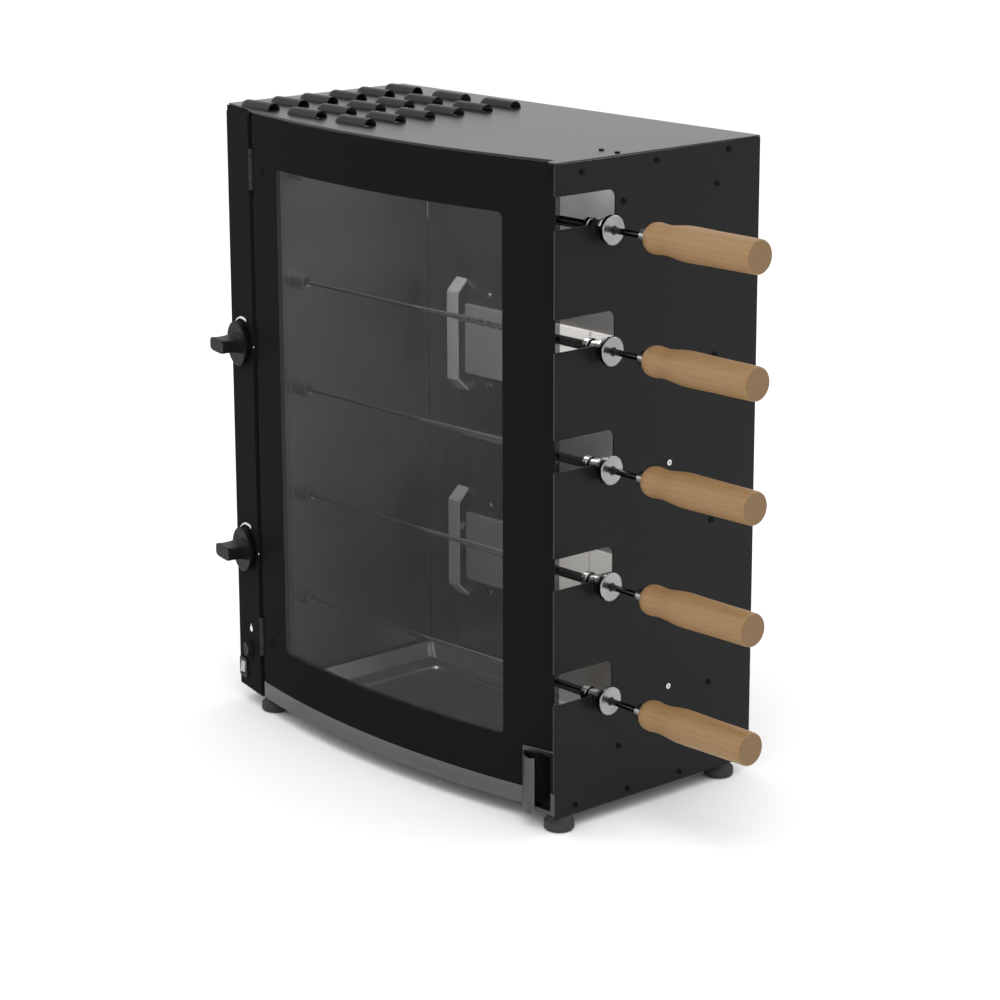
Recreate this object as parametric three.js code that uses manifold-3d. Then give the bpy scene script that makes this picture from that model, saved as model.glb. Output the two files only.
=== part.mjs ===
// Gas rotisserie oven: a sheet-metal cabinet with a curved glass door, five
// chain-driven skewers that lie in open slots of the right-hand side panel, and
// two infrared burners on the back wall. Millimetres, +Z up, front towards -Y.
// The pieces are laid out in the cabinet's own frame: X = 0 is the outer face of
// the left side, Y = 0 the front edge of the right side, Z = 0 the cabinet floor.
import * as THREE from "three";
import { mergeVertices } from "three/addons/utils/BufferGeometryUtils.js";
import Module from "manifold-3d";

const wasm = await Module();
wasm.setup();

// Cabinet
const WIDTH = 525;
const DEPTH = 262;
const HEIGHT = 620;
const SHEET = 1.5;
const GAP = 0.3;
const FOOT_HEIGHT = 15;
const FOOT_RADIUS = 14.5;
const LINER_X = 66;
const LINER_FRONT = 24;
const BACK_WALL_Y = 238;

// Curved front, an arc about a vertical axis
const ARC_RADIUS = 1065;
const ARC_X = 290;
const ARC_FRONT = -10.6;

// Control panel, slanted back towards the left
const PANEL_SLANT = THREE.MathUtils.degToRad(13);
const PANEL_LEFT_Y = 27;
const PANEL_WIDTH = 54;
const PANEL_TOP = 613;
const CONTROL_U = 30;
const KNOB_HEIGHTS = { upper: 377, lower: 157 };
const KNOB_RADIUS = 23;
const KNOB_LIFT = 3.6;
const KNOB_REACH = 30;
const STEM_RADIUS = 4;
const BUTTON_Z = 47;
const SWITCH_U = 13;
const SWITCH_Z = 22;
const ROCKER_TILT = 7;
const ROCKER_PIVOT = 5;

// Skewers
const SKEWER_COUNT = 5;
const SKEWER_Y = 59.2;
const SKEWER_TOP_Z = 554.8;
const SKEWER_PITCH = 111.8;
const SLOT_DEPTH = 73.5;
const SLOT_LOW = 4.7;
const SLOT_HIGH = 34.7;
const SEAT_RADIUS = 8.7;
const BLADE_TIP_X = 240;
const TANG_RADIUS = 1.6;
const TANG_END_X = 73;

// Skewer drive
const SPROCKET_RADIUS = 23.6;
const SPROCKET_X = 55;
const SPROCKET_WIDTH = 5;
const MOTOR_Z = 45;
const CHAIN_THICKNESS = 3.5;
const SOCKET_RADIUS = 8;
const SOCKET_END_X = 88;

// Door
const GLASS = 5;
const DOOR_LEFT = 61;
const DOOR_RIGHT = 511.5;
const GLASS_BOTTOM = 19.5;
const GLASS_TOP = 617;
const HINGE_X = 57;
const HINGE_Y = 15.5;
const HINGE_RADIUS = 2.8;
const HINGE_LENGTH = 42;
const HINGE_HEIGHTS = { upper: 560, lower: 68 };
const NOTCH_X = 489.5;
const NOTCH_TOP = 60;

// Burners
const BURNER_HEIGHTS = { upper: 367, lower: 141 };
const TILE_COUNT = 5;
const TILE_PITCH = 64;
const TILE_WIDTH = 60;
const TILE_HEIGHT = 73;
const PLAQUE_X = 131;
const PLAQUE_FRONT = 234;
const PLAQUE_WIDTH = TILE_PITCH * TILE_COUNT;

// Louvres, pressed up out of the top panel
const LOUVRE_COLUMNS = 3;
const LOUVRE_ROWS = 6;
const LOUVRE_LENGTH = 50;
const LOUVRE_RADIUS = 7.5;
const LOUVRE_FIRST = { x: 27, y: 30 };
const LOUVRE_STEP = { x: 76, y: 37.5 };

// Where the cabinet frame lies under the part's own origin, which is the middle
// of the footprint of its whole box
const ORIGIN = { x: 360, y: 133.6, z: -FOOT_HEIGHT };

const MATERIALS = {
  blackPaint: { color: 0x1b1b1c, roughness: 0.42, metalness: 0.2 },
  controlPaint: { color: 0x161617, roughness: 0.5, metalness: 0.1 },
  galvanised: { color: 0x8d8b88, roughness: 0.38, metalness: 0.9 },
  stainless: { color: 0xb4b2ae, roughness: 0.28, metalness: 1.0 },
  chrome: { color: 0xd4d4d4, roughness: 0.12, metalness: 1.0 },
  anodised: { color: 0x6b6b6c, roughness: 0.4, metalness: 0.8 },
  glass: { color: 0x2a2a2b, roughness: 0.06, metalness: 0.0, transparent: true, opacity: 0.4 },
  ceramic: { color: 0xb9b5ad, roughness: 0.9, metalness: 0.0 },
  beech: { color: 0xa87e52, roughness: 0.6, metalness: 0.0 },
  blackPlastic: { color: 0x1d1d1e, roughness: 0.45, metalness: 0.0 },
  greyPlastic: { color: 0xa5a5a5, roughness: 0.5, metalness: 0.0 },
  rubber: { color: 0x222223, roughness: 0.85, metalness: 0.0 },
  brass: { color: 0xb08d4a, roughness: 0.35, metalness: 1.0 },
  copper: { color: 0xa5643f, roughness: 0.35, metalness: 1.0 },
  darkSteel: { color: 0x4a4a4c, roughness: 0.45, metalness: 0.9 },
};

// ---------- geometry helpers ----------

const AXES = {
  x: new THREE.Matrix4().makeBasis(
    new THREE.Vector3(0, 1, 0), new THREE.Vector3(0, 0, 1), new THREE.Vector3(1, 0, 0)),
  y: new THREE.Matrix4().makeBasis(
    new THREE.Vector3(1, 0, 0), new THREE.Vector3(0, 0, 1), new THREE.Vector3(0, -1, 0)),
  z: new THREE.Matrix4(),
};

function box(x0, x1, y0, y1, z0, z1) {
  const geometry = new THREE.BoxGeometry(x1 - x0, y1 - y0, z1 - z0);
  return geometry.translate((x0 + x1) / 2, (y0 + y1) / 2, (z0 + z1) / 2);
}

// Extrudes an outline along an axis: a (Y, Z) outline along x, an (X, Z) outline
// along y, or an (X, Y) outline along z.
function extrude(axis, outline, from, to, curveSegments = 8) {
  const shape = outline instanceof THREE.Shape ? outline
    : new THREE.Shape(outline.map(([a, b]) => new THREE.Vector2(a, b)));
  const geometry = new THREE.ExtrudeGeometry(shape,
    { depth: to - from, bevelEnabled: false, curveSegments });
  geometry.applyMatrix4(AXES[axis]);
  const start = axis === "y" ? to : from;
  return geometry.translate(axis === "x" ? start : 0, axis === "y" ? start : 0,
    axis === "z" ? start : 0);
}

// A cylinder or cone along an axis, between two stations, centred on the other two
// coordinates in alphabetical order.
function rod(axis, radius, from, to, a, b, segments = 16, endRadius = radius) {
  const geometry = new THREE.CylinderGeometry(endRadius, radius, to - from, segments);
  geometry.translate(0, (from + to) / 2, 0);
  if (axis === "x") geometry.rotateZ(-Math.PI / 2);
  if (axis === "z") geometry.rotateX(Math.PI / 2);
  if (axis === "x") return geometry.translate(0, a, b);
  if (axis === "y") return geometry.translate(a, 0, b);
  return geometry.translate(a, b, 0);
}

// Turns [station, radius] pairs about the X axis.
function turned(profile, segments = 20) {
  const points = profile.map(([station, radius]) => new THREE.Vector2(radius, station));
  return new THREE.LatheGeometry(points, segments).rotateZ(-Math.PI / 2);
}

function pipe(points, radius, steps = 24, sides = 8) {
  const path = new THREE.CatmullRomCurve3(
    points.map((point) => new THREE.Vector3(...point)), false, "centripetal");
  const section = new THREE.Shape();
  for (let side = 0; side < sides; side += 1) {
    const angle = (2 * Math.PI * side) / sides;
    const method = side === 0 ? "moveTo" : "lineTo";
    section[method](radius * Math.cos(angle), radius * Math.sin(angle));
  }
  return new THREE.ExtrudeGeometry(section, { steps, extrudePath: path, bevelEnabled: false });
}

function roundedRect(a0, a1, b0, b1, radius) {
  const shape = new THREE.Shape();
  shape.moveTo(a0 + radius, b0);
  shape.lineTo(a1 - radius, b0);
  shape.absarc(a1 - radius, b0 + radius, radius, -Math.PI / 2, 0);
  shape.lineTo(a1, b1 - radius);
  shape.absarc(a1 - radius, b1 - radius, radius, 0, Math.PI / 2);
  shape.lineTo(a0 + radius, b1);
  shape.absarc(a0 + radius, b1 - radius, radius, Math.PI / 2, Math.PI);
  shape.lineTo(a0, b0 + radius);
  shape.absarc(a0 + radius, b0 + radius, radius, Math.PI, 1.5 * Math.PI);
  return shape;
}

function toSolid(geometry) {
  if (!(geometry instanceof THREE.BufferGeometry)) return geometry;
  const bare = geometry.index ? geometry.toNonIndexed() : geometry.clone();
  bare.deleteAttribute("normal");
  bare.deleteAttribute("uv");
  const merged = mergeVertices(bare, 1e-4);
  return new wasm.Manifold(new wasm.Mesh({
    numProp: 3,
    vertProperties: new Float32Array(merged.attributes.position.array),
    triVerts: new Uint32Array(merged.index.array),
  }));
}

const join = (first, ...others) => others.reduce((sum, g) => sum.add(toSolid(g)), toSolid(first));
const cut = (first, ...tools) =>
  tools.reduce((rest, g) => rest.subtract(toSolid(g)), toSolid(first));
const meet = (first, second) => toSolid(first).intersect(toSolid(second));

function toGeometry(solid) {
  if (solid instanceof THREE.BufferGeometry) return solid;
  const mesh = solid.getMesh();
  const geometry = new THREE.BufferGeometry();
  geometry.setAttribute("position", new THREE.BufferAttribute(mesh.vertProperties, 3));
  geometry.setIndex(new THREE.BufferAttribute(mesh.triVerts, 1));
  geometry.computeVertexNormals();
  return geometry;
}

function piece(group, name, materialName, solid) {
  const material = new THREE.MeshStandardMaterial(MATERIALS[materialName]);
  const mesh = new THREE.Mesh(toGeometry(solid), material);
  mesh.name = name;
  group.add(mesh);
  return mesh;
}

// ---------- shared outlines ----------

// Y of the curved front, set in from its outer surface by a radial inset
function frontY(x, inset = 0) {
  const reach = ARC_RADIUS - inset;
  return ARC_FRONT + ARC_RADIUS - Math.sqrt(reach ** 2 - (x - ARC_X) ** 2);
}

function frontLine(x0, x1, inset, steps) {
  const points = [];
  for (let i = 0; i <= steps; i += 1) {
    const x = x0 + ((x1 - x0) * i) / steps;
    points.push([x, frontY(x, inset)]);
  }
  return points;
}

// A strip that follows the curved front between two insets
function frontStrip(x0, x1, outer, inner, z0, z1, steps = 20) {
  const outline = [...frontLine(x0, x1, outer, steps), ...frontLine(x0, x1, inner, steps).reverse()];
  return extrude("z", outline, z0, z1);
}

const panelY = (x) => PANEL_LEFT_Y - Math.tan(PANEL_SLANT) * x;
const skewerZ = (index) => SKEWER_TOP_Z - SKEWER_PITCH * index;

const oven = new THREE.Group();
const cabinet = new THREE.Group();
cabinet.position.set(-ORIGIN.x, -ORIGIN.y, -ORIGIN.z);
oven.add(cabinet);

const panelFrame = new THREE.Group();
panelFrame.position.set(0, PANEL_LEFT_Y, 0);
panelFrame.rotation.z = -PANEL_SLANT;
cabinet.add(panelFrame);

// ---------- cabinet shells ----------

function skewerSlot(index) {
  const z = skewerZ(index);
  const low = z + SLOT_LOW;
  const high = z + SLOT_HIGH;
  const corner = 9;
  const slot = new THREE.Shape();
  slot.moveTo(-5, low);
  slot.lineTo(SKEWER_Y - SEAT_RADIUS, low);
  slot.lineTo(SKEWER_Y - SEAT_RADIUS, z);
  slot.absarc(SKEWER_Y, z, SEAT_RADIUS, Math.PI, 2 * Math.PI);
  slot.lineTo(SKEWER_Y + SEAT_RADIUS, low);
  slot.lineTo(SLOT_DEPTH, low);
  slot.lineTo(SLOT_DEPTH, high - corner);
  slot.absarc(SLOT_DEPTH - corner, high - corner, corner, 0, Math.PI / 2);
  slot.lineTo(-5, high);
  return extrude("x", slot, WIDTH - 10, WIDTH + 5, 6);
}

function rightSidePanel() {
  const hem = 3.2;
  const sheet = box(WIDTH - SHEET, WIDTH, 0, DEPTH, 0, HEIGHT - SHEET - GAP);
  const frontHem = box(WIDTH - hem, WIDTH, 0, 6, 0, HEIGHT - SHEET - GAP);
  const slots = Array.from({ length: SKEWER_COUNT }, (_, index) => skewerSlot(index));
  return cut(join(sheet, frontHem), ...slots);
}

function louvre(x, y, radius, length, floor) {
  const barrel = rod("x", radius, x + radius, x + length, y, HEIGHT - 0.5, 10);
  const cap = new THREE.SphereGeometry(radius, 8, 6).rotateZ(Math.PI / 2)
    .translate(x + radius, y, HEIGHT - 0.5);
  const above = box(x - 1, x + length + 1, y - radius - 1, y + radius + 1, floor, HEIGHT + 20);
  return meet(join(barrel, cap), above);
}

function topPanel() {
  const rightEnd = DOOR_RIGHT - 1.5;
  const outline = [
    [0, PANEL_LEFT_Y + 4], [PANEL_WIDTH - 2, panelY(PANEL_WIDTH - 2) + 4],
    ...frontLine(PANEL_WIDTH - 1, rightEnd, 0, 14),
    [rightEnd + 2.5, 1.5], [rightEnd + 4, 0], [WIDTH, 0], [WIDTH, DEPTH], [0, DEPTH],
  ];
  let panel = toSolid(extrude("z", outline, HEIGHT - SHEET, HEIGHT));
  const lip = frontStrip(PANEL_WIDTH + 1, rightEnd - 0.5, 0, SHEET, HEIGHT - 2.5, HEIGHT - 0.5, 14);
  panel = join(panel, lip);
  const wall = 1.2;
  for (let row = 0; row < LOUVRE_ROWS; row += 1) {
    for (let column = 0; column < LOUVRE_COLUMNS; column += 1) {
      const x = LOUVRE_FIRST.x + LOUVRE_STEP.x * column;
      const y = LOUVRE_FIRST.y + LOUVRE_STEP.y * row;
      panel = join(panel, louvre(x, y, LOUVRE_RADIUS, LOUVRE_LENGTH, HEIGHT - SHEET));
      panel = cut(panel, louvre(x + wall, y, LOUVRE_RADIUS - wall, LOUVRE_LENGTH, HEIGHT - 5));
    }
  }
  return panel;
}

function basePan() {
  const inset = 8.6;
  const outline = [
    [SHEET + GAP, PANEL_LEFT_Y + 2], [PANEL_WIDTH - 2, panelY(PANEL_WIDTH) + 2],
    ...frontLine(PANEL_WIDTH + 3, NOTCH_X, inset, 14),
    [NOTCH_X + 1, 30], [WIDTH - 3.6, 30], [WIDTH - 3.6, 8], [WIDTH - SHEET - GAP, 8],
    [WIDTH - SHEET - GAP, DEPTH - SHEET - GAP], [SHEET + GAP, DEPTH - SHEET - GAP],
  ];
  const floor = extrude("z", outline, 0, SHEET);
  const apron = frontStrip(PANEL_WIDTH + 4, NOTCH_X, inset, inset + SHEET, 0, 18, 14);
  return join(floor, apron);
}

function backPanel() {
  const sheet = box(SHEET + GAP, WIDTH - SHEET - GAP, DEPTH - SHEET, DEPTH,
    0, HEIGHT - SHEET - GAP);
  const inletHole = rod("y", 8, DEPTH - 10, DEPTH + 5, INLET.x, INLET.z);
  const glandHole = rod("y", 6, DEPTH - 10, DEPTH + 5, GLAND.x, GLAND.z);
  const vents = Array.from({ length: 5 }, (_, i) =>
    extrude("y", roundedRect(14 + 8 * i, 18 + 8 * i, 480, 540, 1.9), DEPTH - 10, DEPTH + 5, 2));
  return cut(sheet, inletHole, glandHole, ...vents);
}

function innerLeftWall() {
  const wall = box(LINER_X, LINER_X + SHEET, LINER_FRONT, BACK_WALL_Y - GAP, SHEET + GAP, 616);
  const jamb = box(PANEL_WIDTH + 2, LINER_X + 1, LINER_FRONT, LINER_FRONT + SHEET, 20, 616);
  const bushes = Array.from({ length: SKEWER_COUNT }, (_, index) =>
    rod("x", SOCKET_RADIUS + 2.5, LINER_X - 2, LINER_X + SHEET + 1.5, SKEWER_Y, skewerZ(index), 14));
  const holes = Array.from({ length: SKEWER_COUNT }, (_, index) =>
    rod("x", SOCKET_RADIUS + 0.5, LINER_X - 10, LINER_X + 10, SKEWER_Y, skewerZ(index), 14));
  return cut(join(wall, jamb, ...bushes), ...holes);
}

function chamberBackWall() {
  const wall = box(LINER_X + SHEET + GAP, WIDTH - SHEET - GAP, BACK_WALL_Y, BACK_WALL_Y + SHEET,
    SHEET + GAP, 616);
  const openings = Object.values(BURNER_HEIGHTS).map((z) => box(PLAQUE_X - 1,
    PLAQUE_X + PLAQUE_WIDTH + 1, BACK_WALL_Y - 5, BACK_WALL_Y + 5,
    z - TILE_HEIGHT / 2 - 1, z + TILE_HEIGHT / 2 + 1));
  const electrodeHoles = Object.values(BURNER_HEIGHTS).map((z) =>
    rod("y", 3.6, BACK_WALL_Y - 5, BACK_WALL_Y + 5, ELECTRODE_X, z + ELECTRODE_RISE, 10));
  return cut(wall, ...openings, ...electrodeHoles);
}

// ---------- control panel and what it carries, in its slanted frame ----------

function controlPanel() {
  const bottom = SHEET + GAP;
  const sheet = box(SHEET + 0.6, PANEL_WIDTH, 0, SHEET, bottom, PANEL_TOP);
  const flange = box(PANEL_WIDTH - SHEET, PANEL_WIDTH, 0, 12, bottom, PANEL_TOP);
  const ledge = extrude("x", [[0, PANEL_TOP - 1], [3.6, HEIGHT - SHEET - GAP],
    [5.4, HEIGHT - SHEET - GAP], [SHEET, PANEL_TOP - 1]], SHEET + 0.6, PANEL_WIDTH);
  const holes = Object.values(KNOB_HEIGHTS).map((z) => rod("y", 8, -5, 5, CONTROL_U, z));
  const buttonHole = rod("y", 7.4, -5, 8, CONTROL_U, BUTTON_Z);
  const buttonBezel = rod("y", 9.6, -1.6, 0.5, CONTROL_U, BUTTON_Z, 24);
  const switchHole = box(SWITCH_U - 6.8, SWITCH_U + 6.8, -5, 5, SWITCH_Z - 8.8, SWITCH_Z + 8.8);
  return cut(join(sheet, flange, ledge, buttonBezel), ...holes, buttonHole, switchHole);
}

function gasValve(z) {
  const body = box(CONTROL_U - 12, CONTROL_U + 12, 5, 34, z - 18, z + 18);
  const nose = rod("y", 7.5, 2, 6, CONTROL_U, z, 20);
  const tee = rod("y", 6.5, 33, 41, CONTROL_U, z - 8, 12);
  const outlet = rod("z", 5, z + 17, z + 24, CONTROL_U, 24, 12);
  const bore = rod("y", STEM_RADIUS + 0.4, 0, 18, CONTROL_U, z, 16);
  return cut(join(body, nose, tee, outlet), bore);
}

function valveStem(z) {
  const shaft = rod("y", STEM_RADIUS, -15, 17, CONTROL_U, z, 16);
  const flat = box(CONTROL_U + 2.6, CONTROL_U + 6, -20, -4, z - 6, z + 6);
  return cut(shaft, flat);
}

function knob(z) {
  const front = -KNOB_REACH;
  const disc = rod("y", KNOB_RADIUS - 1.5, -KNOB_LIFT - 8, -KNOB_LIFT, CONTROL_U, z, 32,
    KNOB_RADIUS);
  const grip = extrude("y", roundedRect(CONTROL_U - 17, CONTROL_U + 17, z - 7.6, z + 7.6, 4),
    front, -KNOB_LIFT - 6, 4);
  const waist = [-1, 1].map((side) => rod("y", 26, front - 1, -KNOB_LIFT - 9,
    CONTROL_U, z + side * (26 + 6.2), 40));
  const fingerHollow = box(CONTROL_U + 9, CONTROL_U + 20, front + 5, -KNOB_LIFT - 9,
    z - 3.6, z + 3.6);
  const bore = rod("y", STEM_RADIUS + 0.4, -22, 0, CONTROL_U, z, 16);
  return cut(join(disc, cut(grip, ...waist)), fingerHollow, bore);
}

function ignitionButton() {
  const cap = rod("y", 6.9, -6.5, 6, CONTROL_U, BUTTON_Z, 24);
  const dish = new THREE.SphereGeometry(14, 20, 12).translate(CONTROL_U, -19.2, BUTTON_Z);
  return cut(cap, dish);
}

function switchBezel() {
  const rim = extrude("y", roundedRect(SWITCH_U - 8.5, SWITCH_U + 8.5,
    SWITCH_Z - 10.5, SWITCH_Z + 10.5, 2.5), -2, -GAP, 4);
  const body = box(SWITCH_U - 6.5, SWITCH_U + 6.5, -1, 20, SWITCH_Z - 8.5, SWITCH_Z + 8.5);
  const well = box(SWITCH_U - 5.2, SWITCH_U + 5.2, -3, 12, SWITCH_Z - 7.4, SWITCH_Z + 7.4);
  return cut(join(rim, body), well);
}

function rockerSwitch() {
  const corners = [[4.6, -90], [9.4, -38], [7.4, 0], [9.4, 38], [4.6, 90]];
  const outline = corners.map(([radius, degrees]) => {
    const angle = THREE.MathUtils.degToRad(degrees + ROCKER_TILT);
    return [ROCKER_PIVOT - radius * Math.cos(angle), SWITCH_Z + radius * Math.sin(angle)];
  });
  return extrude("x", outline.reverse(), SWITCH_U - 4.8, SWITCH_U + 4.8);
}

// ---------- burners and gas ----------

const ELECTRODE_X = 122;
const ELECTRODE_RISE = 20;
const INLET = { x: 26, z: 128 };
const GLAND = { x: 26, z: 70 };
const FEED_Y = 251;

function burnerBody(z) {
  const x0 = PLAQUE_X - 2.5;
  const x1 = PLAQUE_X + PLAQUE_WIDTH + 2.5;
  const half = TILE_HEIGHT / 2 + 2.5;
  const pan = box(x0, x1, BACK_WALL_Y + SHEET + GAP, 258, z - half, z + half);
  const hollow = box(x0 + 2, x1 - 2, BACK_WALL_Y, 256, z - half + 2, z + half - 2);
  const venturi = rod("x", 6.5, 84, x0 + 1, FEED_Y, z, 14);
  const throat = rod("x", 5, 80, x0 + 4, FEED_Y, z, 14);
  return cut(join(pan, venturi), hollow, throat);
}

function ceramicPlaque(z) {
  const x1 = PLAQUE_X + PLAQUE_WIDTH;
  const slab = box(PLAQUE_X, x1, PLAQUE_FRONT, BACK_WALL_Y + 12,
    z - TILE_HEIGHT / 2, z + TILE_HEIGHT / 2);
  const joints = Array.from({ length: TILE_COUNT - 1 }, (_, i) => {
    const x = PLAQUE_X + TILE_PITCH * (i + 1);
    const half = (TILE_PITCH - TILE_WIDTH) / 2;
    return box(x - half, x + half, PLAQUE_FRONT - 1, PLAQUE_FRONT + 2.5, z - 60, z + 60);
  });
  return cut(slab, ...joints);
}

// A strip that stands off the wall on its two bent-back ends
function burnerGuard(z) {
  const half = 57;
  const front = 224;
  const foot = BACK_WALL_Y - GAP;
  const side = [
    [foot, z - half - 3], [foot, z - half], [front + SHEET, z - half + 12],
    [front + SHEET, z + half - 12], [foot, z + half], [foot, z + half + 3],
    [front, z + half - 10], [front, z - half + 10],
  ];
  return extrude("x", side, 114, 131.6 - 1);
}

function electrode(z) {
  const insulator = rod("y", 3.2, 232, 256, ELECTRODE_X, z, 10);
  const wire = pipe([[ELECTRODE_X, 233, z], [ELECTRODE_X, 229, z], [ELECTRODE_X + 4, 227.5, z],
    [ELECTRODE_X + 12, 228.5, z]], 0.9, 10, 6);
  return join(insulator, wire);
}

function gasManifold() {
  const y = 77;
  const z0 = KNOB_HEIGHTS.lower - 14;
  const z1 = KNOB_HEIGHTS.upper;
  const riser = pipe([[INLET.x, y, z1], [INLET.x, y, (z0 + z1) / 2], [INLET.x, y, z0 + 18],
    [INLET.x, y + 4, INLET.z + 4], [INLET.x, y + 22, INLET.z], [INLET.x, 160, INLET.z],
    [INLET.x, DEPTH + 4, INLET.z]], 5, 22, 8);
  const barb = turned([[0, 0], [0, 7], [4, 7], [4, 5.4], [6, 6.4], [9, 5], [9, 6.4], [12, 5],
    [12, 6.2], [16, 4.6], [16, 0]], 12).rotateZ(Math.PI / 2).translate(INLET.x, DEPTH + 2, INLET.z);
  const stubs = Object.values(KNOB_HEIGHTS).map((z) => pipe([[INLET.x, y, z - 8],
    [INLET.x + 6, y - 5, z - 8], [valveTee.x, valveTee.y, z - 8]], 4, 6, 8));
  return join(riser, barb, ...stubs);
}

// Point in the cabinet frame of a point (u, v) of the slanted panel frame
function fromPanel(u, v) {
  const c = Math.cos(PANEL_SLANT);
  const s = Math.sin(PANEL_SLANT);
  return { x: u * c + v * s, y: PANEL_LEFT_Y - u * s + v * c };
}

const valveTee = fromPanel(CONTROL_U, 44.2);
const valveOutlet = fromPanel(CONTROL_U, 24);

function burnerFeed(knobZ, burnerZ) {
  const start = knobZ + 24 + GAP;
  const high = start + 20;
  return pipe([[valveOutlet.x, valveOutlet.y, start], [valveOutlet.x, valveOutlet.y, start + 8],
    [valveOutlet.x + 2, valveOutlet.y + 12, high], [46, 110, high], [46, 180, high - 8],
    [46, 232, burnerZ + 4], [52, FEED_Y - 1, burnerZ], [64, FEED_Y, burnerZ],
    [79, FEED_Y, burnerZ]], 3, 30, 6);
}

function igniterModule() {
  const body = box(10, 42, 130, 160, 455, 505);
  const terminals = [464, 482, 500].map((z) => rod("y", 3, 124, 131, 26, z, 10));
  const tab = box(SHEET + GAP, 12, 140, 150, 470, 490);
  return join(body, tab, ...terminals);
}

// ---------- skewer drive ----------

function sprocket(z) {
  const teeth = 14;
  const outline = [];
  for (let tooth = 0; tooth < teeth; tooth += 1) {
    const steps = [[0, 20.6], [0.3, 20.6], [0.5, SPROCKET_RADIUS], [0.8, SPROCKET_RADIUS]];
    for (const [share, radius] of steps) {
      const angle = (2 * Math.PI * (tooth + share)) / teeth;
      outline.push([SKEWER_Y + radius * Math.cos(angle), z + radius * Math.sin(angle)]);
    }
  }
  return extrude("x", outline, SPROCKET_X, SPROCKET_X + SPROCKET_WIDTH);
}

function driveSocket(index) {
  const z = skewerZ(index);
  const shaft = rod("x", SOCKET_RADIUS, SPROCKET_X - 3, SOCKET_END_X, SKEWER_Y, z, 14);
  const mouth = rod("x", 2.1, SOCKET_END_X - 17, SOCKET_END_X + 2, SKEWER_Y, z, 10);
  const flare = rod("x", 2, SOCKET_END_X - 4, SOCKET_END_X + 0.5, SKEWER_Y, z, 10, 5.5);
  return cut(join(sprocket(z), shaft), mouth, flare);
}

function driveChain() {
  const loop = (radius) => {
    const shape = new THREE.Shape();
    shape.absarc(SKEWER_Y, SKEWER_TOP_Z, radius, 0, Math.PI);
    shape.absarc(SKEWER_Y, MOTOR_Z, radius, Math.PI, 2 * Math.PI);
    return shape;
  };
  const inner = SPROCKET_RADIUS + GAP;
  const outer = inner + CHAIN_THICKNESS;
  const x0 = SPROCKET_X - 0.8;
  const x1 = SPROCKET_X + SPROCKET_WIDTH + 0.8;
  return cut(extrude("x", loop(outer), x0, x1, 16), extrude("x", loop(inner), x0 - 1, x1 + 1, 16));
}

function motorSprocket() {
  const hub = rod("x", 6, 51, SPROCKET_X + 8, SKEWER_Y, MOTOR_Z, 16);
  const bore = rod("x", 3.4, 40, SPROCKET_X + 6, SKEWER_Y, MOTOR_Z, 12);
  return cut(join(sprocket(MOTOR_Z), hub), bore);
}

function gearMotor() {
  const housing = extrude("x", roundedRect(49, 99, MOTOR_Z - 26, MOTOR_Z + 26, 6), 26, 48, 4);
  const can = rod("x", 20, 6, 27, 76, MOTOR_Z, 24);
  const shaft = rod("x", 3, 47, SPROCKET_X + 4, SKEWER_Y, MOTOR_Z, 12);
  return join(housing, can, shaft);
}

// ---------- door ----------

function doorGlass() {
  const curved = frontStrip(DOOR_LEFT, DOOR_RIGHT, 0, GLASS, GLASS_BOTTOM, GLASS_TOP, 28);
  const corner = 7;
  const outline = new THREE.Shape();
  outline.moveTo(DOOR_LEFT - 1, GLASS_BOTTOM - 1);
  outline.lineTo(NOTCH_X, GLASS_BOTTOM - 1);
  outline.lineTo(NOTCH_X, NOTCH_TOP);
  outline.lineTo(DOOR_RIGHT, NOTCH_TOP);
  outline.lineTo(DOOR_RIGHT, GLASS_TOP - corner);
  outline.absarc(DOOR_RIGHT - corner, GLASS_TOP - corner, corner, 0, Math.PI / 2);
  outline.lineTo(DOOR_LEFT - 1, GLASS_TOP);
  return meet(curved, extrude("y", outline, -60, 60, 6));
}

function doorRail() {
  const x0 = HINGE_X + 1.5;
  const face = frontStrip(x0, NOTCH_X - GAP, 0, 7.6, 1.5, GLASS_BOTTOM - GAP, 14);
  const lip = frontStrip(x0 + 10, NOTCH_X - GAP, GLASS + GAP, 7.6, GLASS_BOTTOM - 3, 34, 14);
  const groove = frontStrip(x0 - 1, NOTCH_X, 1.8, 5.4, 0, 14, 14);
  return cut(join(face, lip), groove);
}

// Bent sheet pull at the free lower corner: a frame round a finger hole, a fin
// that stands out from its left edge and a tab that closes on the side panel
function doorHandle() {
  const thick = 1.8;
  const x0 = 476;
  const x1 = DOOR_RIGHT + 2;
  const top = 61.5;
  const plate = frontStrip(x0, x1, -thick - GAP, -GAP, 2, top, 6);
  const opening = box(493, 509.5, -30, 40, 9, 57);
  const cupOuter = box(490.6, 511.2, 7, 26, 7, 59);
  const cupInner = box(492.4, 509.6, -10, 24.4, 8.8, 57.2);
  const rise = frontY(x0) - thick - GAP;
  const finOutline = [[x0, rise + 1.4], [x0 + 1, rise - 1.2], [496, -7.2], [500.5, -3.4],
    [499.4, -2.2], [495.2, -5.2], [x0 + 2, rise + 1]];
  const fin = extrude("z", finOutline, 0.6, 56);
  const shelf = extrude("z", [[x0 + 3, rise + 0.5], [495, -5.6], [513, -1], [513.3, 12],
    [x0 + 8, 6.4]], 4.6, 6.4);
  const web = box(511.4, x1, -3.4, 12, 4.6, 27);
  const tab = box(511.4, WIDTH + 2, -3.4, -1.4, 9, 27);
  return join(cut(join(plate, cupOuter), opening, cupInner), fin, shelf, web, tab);
}

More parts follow.
